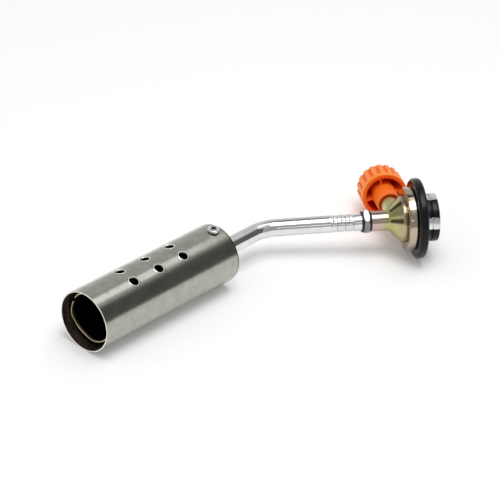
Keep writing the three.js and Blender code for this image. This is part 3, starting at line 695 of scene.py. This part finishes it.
def burner_sleeve():
    """A drawn tube of thin sheet with two fields of punched air holes."""
    sheet = Sheet()
    front, back, holes = sheet.skin(0.0, BURR_WIDTH)
    inner_front, inner_back, inner_holes = sheet.skin(SLEEVE_WALL, EDGE_EASE)
    for outer, inner, middle in zip(holes, inner_holes, HOLE_CENTRES):
        sheet.close_hole(outer, inner, middle)
    sheet.close_end(front, inner_front, 0.0)
    sheet.close_end(back, inner_back, SLEEVE_LENGTH)
    return sheet.rolled_up()


FLAME_TUBE_RADIUS = 15.4
FLAME_TUBE_SHEET = 0.7
FLAME_TUBE_SEAM = math.radians(27)
FLAME_TUBE_SEAM_GAP = 3.0
FLAME_TUBE_END = 54.0
FLAME_TUBE_ROUND_FROM = 30.0  # from here on the sheet is held round
FLAME_TUBE_SPRING = ((1.8, 351, 22), (0.7, 38, 22), (-0.6, 295, 16))  # out by, round at and over (degrees)
HOLDER_THICKNESS = 2.0
HOLDER_PORTS = ((12, 10.0, 1.3), (6, 5.2, 1.1))  # how many, on what circle and of what radius


def sprung(angle, along, radius):
    """The free end of the rolled sheet, out beside its seam and in a little further round."""
    spring = np.zeros_like(angle)
    for reach, middle, width in FLAME_TUBE_SPRING:
        turn = angle - math.radians(middle)
        away = np.arctan2(np.sin(turn), np.cos(turn)) / math.radians(width)
        spring = spring + reach * np.exp(-away ** 2)
    return along, radius + spring * smoothly(along, FLAME_TUBE_ROUND_FROM, FLAME_TUBE_START)


def flame_tube():
    """One sheet rolled up, its two edges not quite meeting."""
    bore = FLAME_TUBE_RADIUS - FLAME_TUBE_SHEET
    half_gap = FLAME_TUBE_SEAM_GAP / 2 / FLAME_TUBE_RADIUS
    lines = finely(FLAME_TUBE_START + 2, FLAME_TUBE_ROUND_FROM, 2)
    outline = rounded([
        (FLAME_TUBE_START, bore), (FLAME_TUBE_START, FLAME_TUBE_RADIUS),
        *[(along, FLAME_TUBE_RADIUS, 0) for along in lines],
        (FLAME_TUBE_END, FLAME_TUBE_RADIUS), (FLAME_TUBE_END, bore),
        *[(along, bore, 0) for along in reversed(lines)],
    ], 0.2)
    first = FLAME_TUBE_SEAM + half_gap
    return turned(outline, 160, shape=sprung, first=first, sweep=FULL_TURN - 2 * half_gap)


def flame_holder():
    """A pressed disc; its ports are drilled by drill_ports."""
    rim = FLAME_TUBE_RADIUS - FLAME_TUBE_SHEET - GAP
    start = HOLDER_MIDDLE - HOLDER_THICKNESS / 2
    end = HOLDER_MIDDLE + HOLDER_THICKNESS / 2
    return turned(rounded([(start, 0), (start, rim), (end, rim), (end, 0)], 0.4), 96)


def drill_ports(holder):
    """Cuts the two rings of flame ports through the flame holder."""
    drills = []
    start = HOLDER_MIDDLE - HOLDER_THICKNESS * 1.5
    end = HOLDER_MIDDLE + HOLDER_THICKNESS * 1.5
    for count, circle, radius in HOLDER_PORTS:
        drill = turned([(start, 0), (start, radius), (end, radius), (end, 0)], 24)
        for angle in spread(count):
            offset = Matrix.Translation((0, circle * math.cos(angle), circle * math.sin(angle)))
            drills.append(moved(drill, offset))
    cutter = new_object("port_drills", new_mesh("port_drills", moved(together(*drills), BURNER)))
    cut = holder.modifiers.new("ports", "BOOLEAN")
    cut.object = cutter
    cut.solver = "EXACT"
    bpy.context.view_layer.update()
    seen = holder.evaluated_get(bpy.context.evaluated_depsgraph_get())
    result = bpy.data.meshes.new_from_object(seen)
    shade(result)
    holder.modifiers.remove(cut)
    holder.data = result
    bpy.data.objects.remove(cutter)


def burner_head():
    """A turned ring that carries the back end of the flame tube and takes the mixing tube."""
    outer = FLAME_TUBE_RADIUS - FLAME_TUBE_SHEET - GAP
    outline = rounded([
        (46, outer - 1.2), (46, outer), (54, outer), (58, 7.9), (60, 7.9), (60, 6.3), (51, 6.3),
        (51, outer - 1.2),
    ], 0.4)
    return turned(outline, 96)


def jet_holder():
    """A turned collar on the end of the gas tube, with the jet's seat in its bore."""
    outline = rounded([
        (82, 2.8), (82, 4.7), (84.3, 4.7), (84.3, 7.5), (89, 7.5), (93, 5.5), (93, 4.0), (101, 4.0),
        (101, 1.4), (91.5, 1.4), (91.5, 2.0), (88, 2.0), (88, 2.8),
    ], 0.25)
    return turned(outline, 64)


def burner_base():
    """A pressed cup closing the back of the burner, with a short lip behind the sleeve."""
    outer = SLEEVE_BORE - GAP
    back = BURNER_LENGTH
    lip = back - BASE_LIP
    collar = TUBE_RADIUS + GAP
    outline = rounded([
        (101, outer - 1.6), (101, outer), (lip, outer, 0.05), (lip, BURNER_RADIUS - 0.2, 0.15),
        (back, BURNER_RADIUS - 0.4, 0.35), (back, BURNER_RADIUS - 1.6), (back - 0.35, BURNER_RADIUS - 2.2),
        (back - 0.35, collar + 3.2), (back, collar + 2.6), (back, collar), (105, collar),
        (105, collar + 2), (111.6, collar + 2), (111.6, outer - 1.6),
    ], 0.3)
    return turned(outline, 160)


def pan_screw(head_radius, head_height, shank_radius, shank_length):
    """A pan-head screw along +X with its head's underside at 0. The cross recess is pressed in."""
    arm = head_radius * 0.55
    half_width = head_radius * 0.16

    def press(angle, along, radius):
        y, z = radius * np.cos(angle), radius * np.sin(angle)
        far, near = np.maximum(np.abs(y), np.abs(z)), np.minimum(np.abs(y), np.abs(z))
        inside = smoothly(near, half_width + 0.12, half_width - 0.05) * smoothly(far, arm + 0.1, arm - 0.15)
        head = along > head_height * 0.5
        return np.where(head, along - inside * head_height * 0.6, along), radius

    top = []
    for radius in finely(0.0, head_radius * 0.8, 0.09):
        top.append((head_height * (1 - 0.22 * (radius / head_radius) ** 2), radius, 0))
    shoulder = [(head_height * 0.84, head_radius * 0.90, 0.25), (head_height * 0.62, head_radius, 0.3)]
    under = [(0, head_radius, 0.15), (0, shank_radius, 0)]
    tip = [(-shank_length * 0.85, shank_radius), (-shank_length, shank_radius * 0.6), (-shank_length, 0)]
    return turned(rounded(top + shoulder + under + tip, 0.1), 96, shape=press)


SLEEVE_SCREW_ALONG = 107.3
SLEEVE_SCREW_ANGLE = math.radians(101)


def sleeve_screw():
    """The screw that stands on the sleeve and holds it to the burner base."""
    stand = Matrix.Translation((SLEEVE_SCREW_ALONG, 0, 0)) @ Matrix.Rotation(SLEEVE_SCREW_ANGLE, 4, "X")
    stand = stand @ Matrix.Rotation(math.pi / 2, 4, "Z") @ Matrix.Translation((BURNER_RADIUS + GAP, 0, 0))
    screw = pan_screw(head_radius=3.6, head_height=2.2, shank_radius=1.5, shank_length=5.0)
    return moved(screw, stand)


def build_burner():
    piece("sleeve_sheet", burner_sleeve(), BURNER, stainless, "burner_sleeve")
    piece("rolled_flame_tube", flame_tube(), BURNER, heat_tinted, "flame_tube")
    holder = piece("ported_flame_holder", flame_holder(), BURNER, heat_tinted,
                   "flame_holder")
    drill_ports(holder)
    piece("turned_burner_head", burner_head(), BURNER, brass, "burner_head")
    piece("turned_jet_holder", jet_holder(), BURNER, brass, "jet_holder")
    # The back cup takes the steel painted dark as shade.
    piece("burner_back_cup", burner_base(), BURNER, painted_shade_steel, "burner_base")
    piece("pan_head_screw", sleeve_screw(), BURNER, screw_zinc, "sleeve_screw")


# ---- handle

TUBE_START = 93.3  # the gas tube's other end, measured from the mouth of the burner
TUBE_WALL = 1.2
CRIMP_FIRST = 46.6
CRIMP_PITCH = 5.1
CRIMP_COUNT = 3
CRIMP_DEPTH = 0.7
CRIMP_LIGHT_DEPTH = 0.25  # of the grooves halfway between
KNURL_START = 42.0
KNURL_END = 58.0
KNURL_ROUND = 26  # crossings of the crimping jaws' pattern round the tube
KNURL_PITCH = 1.3
KNURL_DEPTH = 0.18
NUT_START = HANDLE_LENGTH + GAP
NUT_END = 67.0
NUT_ACROSS_FLATS = 14.2
NUT_CORNER = math.radians(152)
NUT_BORE = 4.6
NUT_CHAMFER = (0.7, 1.2)  # along and across
NECK_START = 68.4
NECK_RADIUS = 6.45
RING_RADIUS = 6.6


def bend(shape):
    """Lays a straight tube, drawn along the handle axis, round the bend and on to the burner's axis."""
    vertices, faces = shape
    tangent = BEND_RADIUS * math.tan(BEND_ANGLE / 2)
    arc = BEND_RADIUS * BEND_ANGLE
    along, y, z = vertices.T
    heading = np.clip((tangent - along) / arc, 0, 1) * BEND_ANGLE
    beyond = np.where(along > tangent, along - tangent, np.minimum(along - tangent + arc, 0))
    x = tangent - (BEND_RADIUS + y) * np.sin(heading) + beyond * np.cos(heading)
    side = -BEND_RADIUS + (BEND_RADIUS + y) * np.cos(heading) + beyond * np.sin(heading)
    return np.stack([x, side, z], axis=-1), faces


def crimped(angle, along, radius):
    """Three rolled grooves with lighter ones between them, over the jaws' crossed pattern."""
    outer = radius > TUBE_RADIUS - 0.05
    groove = np.zeros_like(along)
    for ring in range(CRIMP_COUNT):
        middle = CRIMP_FIRST + ring * CRIMP_PITCH
        groove += CRIMP_DEPTH * np.exp(-(((along - middle) / 0.36) ** 2))
        groove += CRIMP_LIGHT_DEPTH * np.exp(-(((along - middle + CRIMP_PITCH / 2) / 0.3) ** 2))
    band = smoothly(along, KNURL_START, KNURL_START + 1) * smoothly(along, KNURL_END, KNURL_END - 1)
    turn = FULL_TURN * along / KNURL_PITCH
    crossed = np.cos((KNURL_ROUND * angle + turn) / 2) * np.cos((KNURL_ROUND * angle - turn) / 2)
    knurl = KNURL_DEPTH / 2 * band * (1 + crossed)
    return along, np.where(outer, radius - groove - knurl, radius)


def gas_tube():
    """Drawn straight along the handle's axis, crimped, and then laid round its bend."""
    bore = TUBE_RADIUS - TUBE_WALL
    arc_end = BEND_RADIUS * math.tan(BEND_ANGLE / 2)
    arc_start = arc_end - BEND_RADIUS * BEND_ANGLE
    start = arc_start - (BURNER_LENGTH + BURNER_TO_BEND - TUBE_START - arc_end)
    end = HANDLE_LENGTH
    outside = (
        finely(start + 0.3, arc_start, 2.5) + finely(arc_start, arc_end, 0.8)
        + finely(arc_end, KNURL_START - 1, 2.5) + finely(KNURL_START - 1, KNURL_END + 1, 0.14)
        + finely(KNURL_END + 1, end - 0.3, 1.2)
    )
    outline = [(start, bore), (start, TUBE_RADIUS - 0.3)]
    outline += [(along, TUBE_RADIUS) for along in outside]
    outline += [(end - 0.3, TUBE_RADIUS), (end, TUBE_RADIUS - 0.3), (end, bore)]
    outline += [(along, bore) for along in finely(end - 2, arc_end, 4)]
    outline += [(along, bore) for along in finely(arc_end, arc_start, 1.2)]
    outline.append((arc_start, bore))
    return bend(turned(outline, 130, shape=crimped))


def lock_nut():
    """A hexagon with its corners chamfered at both ends."""
    half = NUT_ACROSS_FLATS / 2

    def hexagonal(angle, along, radius):
        sixth = FULL_TURN / 6
        from_flat = (angle - NUT_CORNER) % sixth - sixth / 2
        return along, np.minimum(radius, half / np.cos(from_flat))

    ramp_up = [(NUT_CHAMFER[0] * step / 8, half + NUT_CHAMFER[1] * step / 8) for step in range(9)]
    chamfer = [(NUT_START + inward, radius) for inward, radius in ramp_up]
    far_chamfer = [(NUT_END - inward, radius) for inward, radius in reversed(ramp_up)]
    outline = [(NUT_START, NUT_BORE), *chamfer, *far_chamfer, (NUT_END, NUT_BORE)]
    return turned(outline, 144, shape=hexagonal, first=NUT_CORNER)


def seal_ring(start, end, inner):
    return turned(rounded([(start, inner), (start, RING_RADIUS), (end, RING_RADIUS), (end, inner)], 0.22), 96)


CONE_START = 79.3
CONE_END = 86.3
LIP_RADIUS = 14.9
RIM_START = 89.6
RIM_END = FLANGE_START - GAP
RIM_RADIUS = 20.0
SPIGOT_RADIUS = 10.0
SPIGOT_END = 98.0
BOSS_RADIUS = 6.3
BOSS_END = 44.0  # measured from the handle axis, like every place along the valve axis


def valve_body():
    """A neck flaring into a round shoulder, a wide rim behind it, and the boss that takes the valve."""
    stalk = turned(rounded([
        (NECK_START, 0), (NECK_START, NECK_RADIUS, 0.3), (CONE_START, NECK_RADIUS, 1.0),
        (CONE_END, 13.7, 0.6), (CONE_END + 0.8, LIP_RADIUS - 0.3, 0.5), (CONE_END + 1.5, LIP_RADIUS, 0.5),
        (RIM_START - 0.6, LIP_RADIUS, 0.15), (RIM_START - 0.4, LIP_RADIUS - 0.7, 0.1),
        (RIM_START, LIP_RADIUS - 0.7, 0.1), (RIM_START, RIM_RADIUS - 0.5, 0.5),
        (RIM_START + 0.5, RIM_RADIUS, 0.4), (RIM_END - 0.4, RIM_RADIUS, 0.3),
        (RIM_END, RIM_RADIUS - 0.4, 0.3), (RIM_END, SPIGOT_RADIUS, 0.1), (SPIGOT_END, SPIGOT_RADIUS, 0.2),
        (SPIGOT_END, 0),
    ], steps=5), 192)
    boss = turned(rounded([
        (2, 0), (2, BOSS_RADIUS, 0), (20, BOSS_RADIUS, 0), (BOSS_END, BOSS_RADIUS, 0.6), (BOSS_END, 3.5, 0.2),
        (BOSS_END - 5, 3.5, 0), (BOSS_END - 5, 0),
    ]), 96)
    return together(stalk, moved(boss, HANDLE.inverted() @ VALVE))


FLANGE_END = FLANGE_START + FLANGE_THICKNESS
HUB_RADIUS = 15.0
HUB_GROOVE = 105.4  # middle of the groove round the hub
RECESS_RADIUS = 12.6
PLATE_START = 101.6
PLATE_END = 102.8
CLAW_ANGLES = [math.radians(angle) for angle in (91, 169, 310)]
CLAW_WIDTH = 7.2
CLAW_END = 110.1
CLAW_SHEET = 1.2
CLAW_OUTER = 15.2
CLAW_STEP = 105.6  # from here on a claw stands further out
BUSH_RADIUS = 4.6
GASKET_RADIUS = 6.2
BASE_SCREW_CIRCLE = 8.3
BASE_SCREW_ANGLES = [math.radians(angle) for angle in (130, 240, 20)]


def lock_base():
    """The flange that fingers hold, and behind it a short hub cut open where the claws stand."""
    floor = PLATE_START - GAP
    disc = turned(rounded([
        (FLANGE_START, SPIGOT_RADIUS + GAP), (FLANGE_START, FLANGE_RADIUS - 1.5, 0.6),
        (FLANGE_START + 1.2, FLANGE_RADIUS, 0.6), (FLANGE_END - 1, FLANGE_RADIUS, 0.5),
        (FLANGE_END, FLANGE_RADIUS - 1, 0.5), (FLANGE_END, FLANGE_RADIUS - 3),
        (FLANGE_END - 2, FLANGE_RADIUS - 3.5), (FLANGE_END - 2, HUB_RADIUS + 2),
        (FLANGE_END, HUB_RADIUS + 1), (FLANGE_END, HUB_RADIUS, 0.1), (floor, HUB_RADIUS, 0.1),
        (floor, GASKET_RADIUS + GAP), (SPIGOT_END + GAP, GASKET_RADIUS + GAP),
        (SPIGOT_END + GAP, SPIGOT_RADIUS + GAP),
    ], 0.35), 192)
    half_window = math.asin((CLAW_WIDTH / 2 + GAP) / HUB_RADIUS)
    edges = sorted(CLAW_ANGLES)
    outline = rounded([
        (floor - 0.2, RECESS_RADIUS, 0), (floor - 0.2, HUB_RADIUS, 0),
        (HUB_GROOVE - 0.5, HUB_RADIUS, 0.25), (HUB_GROOVE - 0.2, HUB_RADIUS - 0.7, 0.1),
        (HUB_GROOVE + 0.2, HUB_RADIUS - 0.7, 0.1), (HUB_GROOVE + 0.5, HUB_RADIUS, 0.25),
        (HUB_END, HUB_RADIUS), (HUB_END, RECESS_RADIUS),
    ], 0.45)
    walls = []
    for index, angle in enumerate(edges):
        first = angle + half_window
        last = edges[(index + 1) % len(edges)] - half_window
        sweep = (last - first) % FULL_TURN
        walls.append(turned(outline, round(sweep * 30), first=first, sweep=sweep))
    return together(disc, *walls)


def claw_plate():
    """A stamped ring with three claws bent up from it, their tips turned inwards."""
    ring = turned(rounded([
        (PLATE_START, BUSH_RADIUS + GAP), (PLATE_START, RECESS_RADIUS - GAP),
        (PLATE_END, RECESS_RADIUS - GAP), (PLATE_END, BUSH_RADIUS + GAP),
    ], 0.2), 128)
    inner = CLAW_OUTER - CLAW_SHEET - 0.4
    side = [
        (PLATE_START, 11), (PLATE_START, CLAW_OUTER - 0.9), (PLATE_START + 0.5, CLAW_OUTER - 0.4),
        (CLAW_STEP - 0.7, CLAW_OUTER - 0.4), (CLAW_STEP - 0.6, CLAW_OUTER - 1.1),
        (CLAW_STEP, CLAW_OUTER - 1.1), (CLAW_STEP + 0.1, CLAW_OUTER),
        (CLAW_END - 0.4, CLAW_OUTER), (CLAW_END, CLAW_OUTER - 0.4), (CLAW_END, 11.4),
        (CLAW_END - CLAW_SHEET, 11.4), (CLAW_END - CLAW_SHEET, inner), (PLATE_END, inner), (PLATE_END, 11),
    ]
    claws = [rolled(prism(side, CLAW_WIDTH, 0.12), angle) for angle in CLAW_ANGLES]
    return together(ring, *claws)


def base_screw(angle):
    offset = (PLATE_END + GAP, BASE_SCREW_CIRCLE * math.cos(angle), BASE_SCREW_CIRCLE * math.sin(angle))
    screw = pan_screw(head_radius=2.2, head_height=1.4, shank_radius=1.2, shank_length=10.6)
    return moved(screw, Matrix.Translation(offset))


def inlet_bush():
    """A flanged brass bush, bored out at its end for the seal that the cartridge's nozzle enters."""
    outline = rounded([
        (92.4, 1), (92.4, BUSH_RADIUS), (99.6, BUSH_RADIUS, 0.1), (99.6, GASKET_RADIUS),
        (101.2, GASKET_RADIUS), (101.2, BUSH_RADIUS, 0.1), (107.2, BUSH_RADIUS, 0.3), (107.2, 3.6, 0.3),
        (104.6, 3.6, 0.1), (104.6, 2), (95, 2), (95, 1),
    ], 0.15)
    return turned(outline, 96)


def inlet_seal():
    return turned(rounded([(104.9, 1.9), (104.9, 3.3), (107, 3.3), (107, 1.9)], 0.6), 72)


def build_handle():
    piece("crimped_gas_tube", gas_tube(), HANDLE, chrome, "gas_tube")
    front_ring = seal_ring(HANDLE_LENGTH - 0.8, HANDLE_LENGTH, TUBE_RADIUS + GAP)
    piece("front_ring", front_ring, HANDLE, rubber, "front_seal_ring")
    piece("hexagon_nut", lock_nut(), HANDLE, nut_steel, "lock_nut", crease=20)
    rear_ring = seal_ring(NUT_END + GAP, NECK_START - GAP, 4.5)
    piece("rear_ring", rear_ring, HANDLE, rubber, "rear_seal_ring")
    piece("flared_valve_body", valve_body(), HANDLE, yellow_plating, "valve_body")
    piece("flanged_lock_base", lock_base(), HANDLE, nylon, "lock_base")
    piece("stamped_claws", claw_plate(), HANDLE, plated_steel, "claw_plate")
    for number, angle in enumerate(BASE_SCREW_ANGLES, start=1):
        piece(f"plate_screw_{number}", base_screw(angle), HANDLE, screw_zinc,
              f"base_screw_{number}")
    piece("turned_inlet_bush", inlet_bush(), HANDLE, brass, "inlet_bush")
    piece("rounded_inlet_seal", inlet_seal(), HANDLE, rubber, "inlet_seal")


# ---- valve and knob

KNOB_END = KNOB_NEAR + KNOB_LENGTH
KNOB_HUB_START = 25.0
KNOB_SOCKET_END = 50.0  # how deep the wide bore that clears the boss goes into the hub
KNOB_COLLAR = 3.6  # the smooth band next to the open rim
KNOB_FLOOR = KNOB_END - 2.6
KNOB_RIBS = 18
KNOB_RIB_TURN = math.radians(7.6)
KNOB_WEBS = 4
KNOB_WEB_TURN = math.radians(75)
RECESS_FLOOR = KNOB_END - 3.2
CAP_RADIUS = 6.0
STEM_RADIUS = 2.5


def ribbed(angle, along, radius):
    """Grooves between the ribs, running from the smooth collar out over the far edge."""
    pitch = FULL_TURN / KNOB_RIBS
    across = np.abs((angle - KNOB_RIB_TURN + pitch / 2) % pitch / pitch - 0.5)
    groove = smoothly(across, 0.23, 0.37)
    start = KNOB_NEAR + KNOB_COLLAR
    run_in = smoothly(along, start, start + 1.5)
    crown = 0.15 * (across / 0.25) ** 2 * (across < 0.25)
    edge = KNOB_RADIUS - run_in * (GROOVE_DEPTH * groove + crown)
    return along, np.minimum(radius, edge)


def knob_shell():
    """A hollow cap open towards the handle, with a long hub inside it."""
    start = KNOB_NEAR + KNOB_COLLAR
    side = [(along, KNOB_RADIUS, 0) for along in finely(start - 0.2, start + 1.8, 0.2)]
    side += [(along, KNOB_RADIUS, 0) for along in finely(start + 1.8, KNOB_END - 1.8, 1.5)]
    outline = rounded([
        (KNOB_NEAR, KNOB_BORE, 0.25), (KNOB_NEAR, KNOB_RADIUS, 0.45), *side,
        (KNOB_END - 1.5, KNOB_RADIUS, 0.5), (KNOB_END, KNOB_RADIUS - 1.6, 0.6),
        (KNOB_END, CAP_RADIUS + GAP, 0.15), (RECESS_FLOOR, CAP_RADIUS + GAP, 0.1),
        (RECESS_FLOOR, STEM_RADIUS + GAP, 0.1), (KNOB_SOCKET_END, STEM_RADIUS + GAP, 0.1),
        (KNOB_SOCKET_END, BOSS_RADIUS + GAP, 0.1), (KNOB_HUB_START, BOSS_RADIUS + GAP, 0.2),
        (KNOB_HUB_START, KNOB_HUB_RADIUS, 0.25),
        (KNOB_FLOOR, KNOB_HUB_RADIUS + 0.3, 0.8), (KNOB_FLOOR, KNOB_BORE, 0.8),
    ], 0.3, steps=4)
    return turned(outline, KNOB_RIBS * 16, shape=ribbed)


def knob_web(angle):
    """One of the walls that join the hub to the shell."""
    side = [
        (KNOB_NEAR + 1.6, KNOB_HUB_RADIUS - 0.5), (KNOB_NEAR + 1.6, KNOB_BORE + 0.4),
        (KNOB_FLOOR + 0.4, KNOB_BORE + 0.4), (KNOB_FLOOR + 0.4, KNOB_HUB_RADIUS - 0.5),
    ]
    return rolled(prism(side, 1.4, 0.2), angle)


def knob_cap():
    """A flat cap in the knob's far face, over its screw."""
    outline = [
        (KNOB_END - 1.1, 0), (KNOB_END - 1.1, CAP_RADIUS, 0.1), (KNOB_END - 0.3, CAP_RADIUS, 0.2),
        (KNOB_END, CAP_RADIUS - 0.6, 0.4), (KNOB_END, 2.2, 0.1), (KNOB_END - 0.3, 1.8, 0.3),
        (KNOB_END - 0.4, 0),
    ]
    return turned(rounded(outline, 0.1), 96)


def build_knob():
    webs = [knob_web(angle) for angle in spread(KNOB_WEBS, KNOB_WEB_TURN)]
    piece("ribbed_knob", together(knob_shell(), *webs), VALVE, orange, "knob", body="knob")
    piece("knob_end_cap", knob_cap(), VALVE, orange, "knob_cap", body="knob")


# ---- CAD pieces that stay as they are

KEPT_NODES = {
    "mixing_tube": brass, "gas_jet": brass, "tube_nipple": brass, "gland_nut": brass,
    "jet_filter": bronze, "inlet_filter": bronze, "valve_stem": plated_steel,
    "knob_screw": plated_steel, "stem_o_ring": rubber, "inlet_gasket": rubber,
}


def finish_kept_nodes():
    for node, material in KEPT_NODES.items():
        data = frame["nodes"][node].data
        data.materials.clear()
        data.materials.append(material)


# ---- floor, light and camera


def way(azimuth, elevation):
    """The unit vector towards a compass direction and a height above the floor, in degrees."""
    turn, climb = math.radians(azimuth), math.radians(elevation)
    return Vector((math.cos(turn) * math.cos(climb), math.sin(turn) * math.cos(climb), math.sin(climb)))


FLOOR_HALF = 3.0  # metres
FLOOR_STEPS = 24
FLOOR_FILL = 0.13  # the floor's own glow, standing for the light that a white sweep returns


def add_floor():
    """A wide pale surface, under the torch."""
    mesh = bmesh.new()
    bmesh.ops.create_grid(mesh, x_segments=FLOOR_STEPS, y_segments=FLOOR_STEPS, size=FLOOR_HALF)
    data = bpy.data.meshes.new("floor")
    mesh.to_mesh(data)
    mesh.free()
    floor = new_object("floor", data)
    material, tree, shader, point = new_material(
        "pale_floor", Matrix(), Roughness=0.9, Emission_Color=(1, 1, 1, 1), Emission_Strength=FLOOR_FILL,
    )
    patch = noise(tree, point, 0.003)
    paint(tree, shader, blend_colours(tree, patch, (0.86, 0.86, 0.86), (0.88, 0.88, 0.88)))
    data.materials.append(material)


def add_softbox(name, azimuth, elevation, distance, size, radiance):
    """A square soft light facing the torch. Its power follows from how bright its face should look."""
    data = bpy.data.lights.new(name, "AREA")
    data.shape = "SQUARE"
    data.size = size
    data.energy = radiance * math.pi * size ** 2
    light = new_object(name, data)
    toward = way(azimuth, elevation)
    light.location = toward * distance
    light.rotation_euler = toward.to_track_quat("Z", "Y").to_euler()


def within(tree, angle, middle, half, soft):
    """1 where an angle is within half degrees of middle and 0 beyond, easing over soft degrees each way."""
    away = calculate(tree, "ABSOLUTE", calculate(tree, "SUBTRACT", angle, math.radians(middle)))
    return remap(tree, away, math.radians(half - soft), math.radians(half + soft), 1.0, 0.0)


WALL_GREY = 0.66
HORIZON_GREY = 0.8
DARK_CARDS = [  # middle and half size (azimuth, elevation), softness (all in degrees), and grey
    ((5, 24), (30, 21), 3, 0.12),
    ((76, 59), (26, 8), 3, 0.05),
    ((162, 10), (34, 13), 4, 0.36),
    ((136, 15), (9, 6), 2, 0.04),
    ((-78, 24), (50, 26), 4, 0.40),
]


def add_studio_walls():
    """A grey studio: light near the floor, with darker cards that give the metal its bands."""
    world = bpy.data.worlds.new("studio")
    bpy.context.scene.world = world
    world.use_nodes = True
    tree = world.node_tree
    direction = add(tree, "TexCoord").outputs["Generated"]
    parts = add(tree, "SeparateXYZ", {"Vector": direction}).outputs
    azimuth = calculate(tree, "ARCTAN2", parts["Y"], parts["X"])
    elevation = calculate(tree, "ARCSINE", parts["Z"])
    brightness = remap(tree, elevation, math.radians(-5), math.radians(25), HORIZON_GREY, WALL_GREY)
    for middle, half_size, soft, grey in DARK_CARDS:
        wide = within(tree, azimuth, middle[0], half_size[0], soft)
        high = within(tree, elevation, middle[1], half_size[1], soft)
        card = calculate(tree, "MULTIPLY", wide, high)
        node = add(tree, "Mix", {"Factor": card, "A": brightness, "B": grey}, data_type="FLOAT")
        brightness = node.outputs["Result"]
    background = tree.nodes["Background"]
    tree.links.new(brightness, background.inputs["Color"])
    background.inputs["Strength"].default_value = 1.0


SOFTBOXES = [  # name, azimuth and elevation (degrees), distance and size (metres), radiance
    ("overhead_softbox", -72, 80, 1.6, 0.92, 4.9),
    ("back_softbox", 40, 62, 1.7, 0.66, 0.95),
    ("front_softbox", -79, 25, 1.9, 0.14, 1.8),
]
CAMERA_AZIMUTH = -101.396
CAMERA_ELEVATION = 31.658
CAMERA_ROLL = math.radians(5.35)
CAMERA_TARGET = Vector((-1.3, 0.6, 20.0)) * MM
CAMERA_DISTANCE = 1.3489  # metres
CAMERA_LENS = 158.4  # for a sensor 36 mm wide


def add_camera():
    data = bpy.data.cameras.new("camera")
    data.lens = CAMERA_LENS
    data.sensor_width = 36.0
    data.clip_start = 0.05
    camera = new_object("camera", data)
    toward = way(CAMERA_AZIMUTH, CAMERA_ELEVATION)
    camera.location = CAMERA_TARGET + toward * CAMERA_DISTANCE
    look = toward.to_track_quat("Z", "Y").to_matrix()
    camera.rotation_euler = (look @ Matrix.Rotation(CAMERA_ROLL, 3, "Z")).to_euler()
    bpy.context.scene.camera = camera


build_burner()
build_handle()
build_knob()
finish_kept_nodes()
add_floor()
add_studio_walls()
for softbox in SOFTBOXES:
    add_softbox(*softbox)
add_camera()

bpy.context.scene.view_settings.view_transform = "Standard"
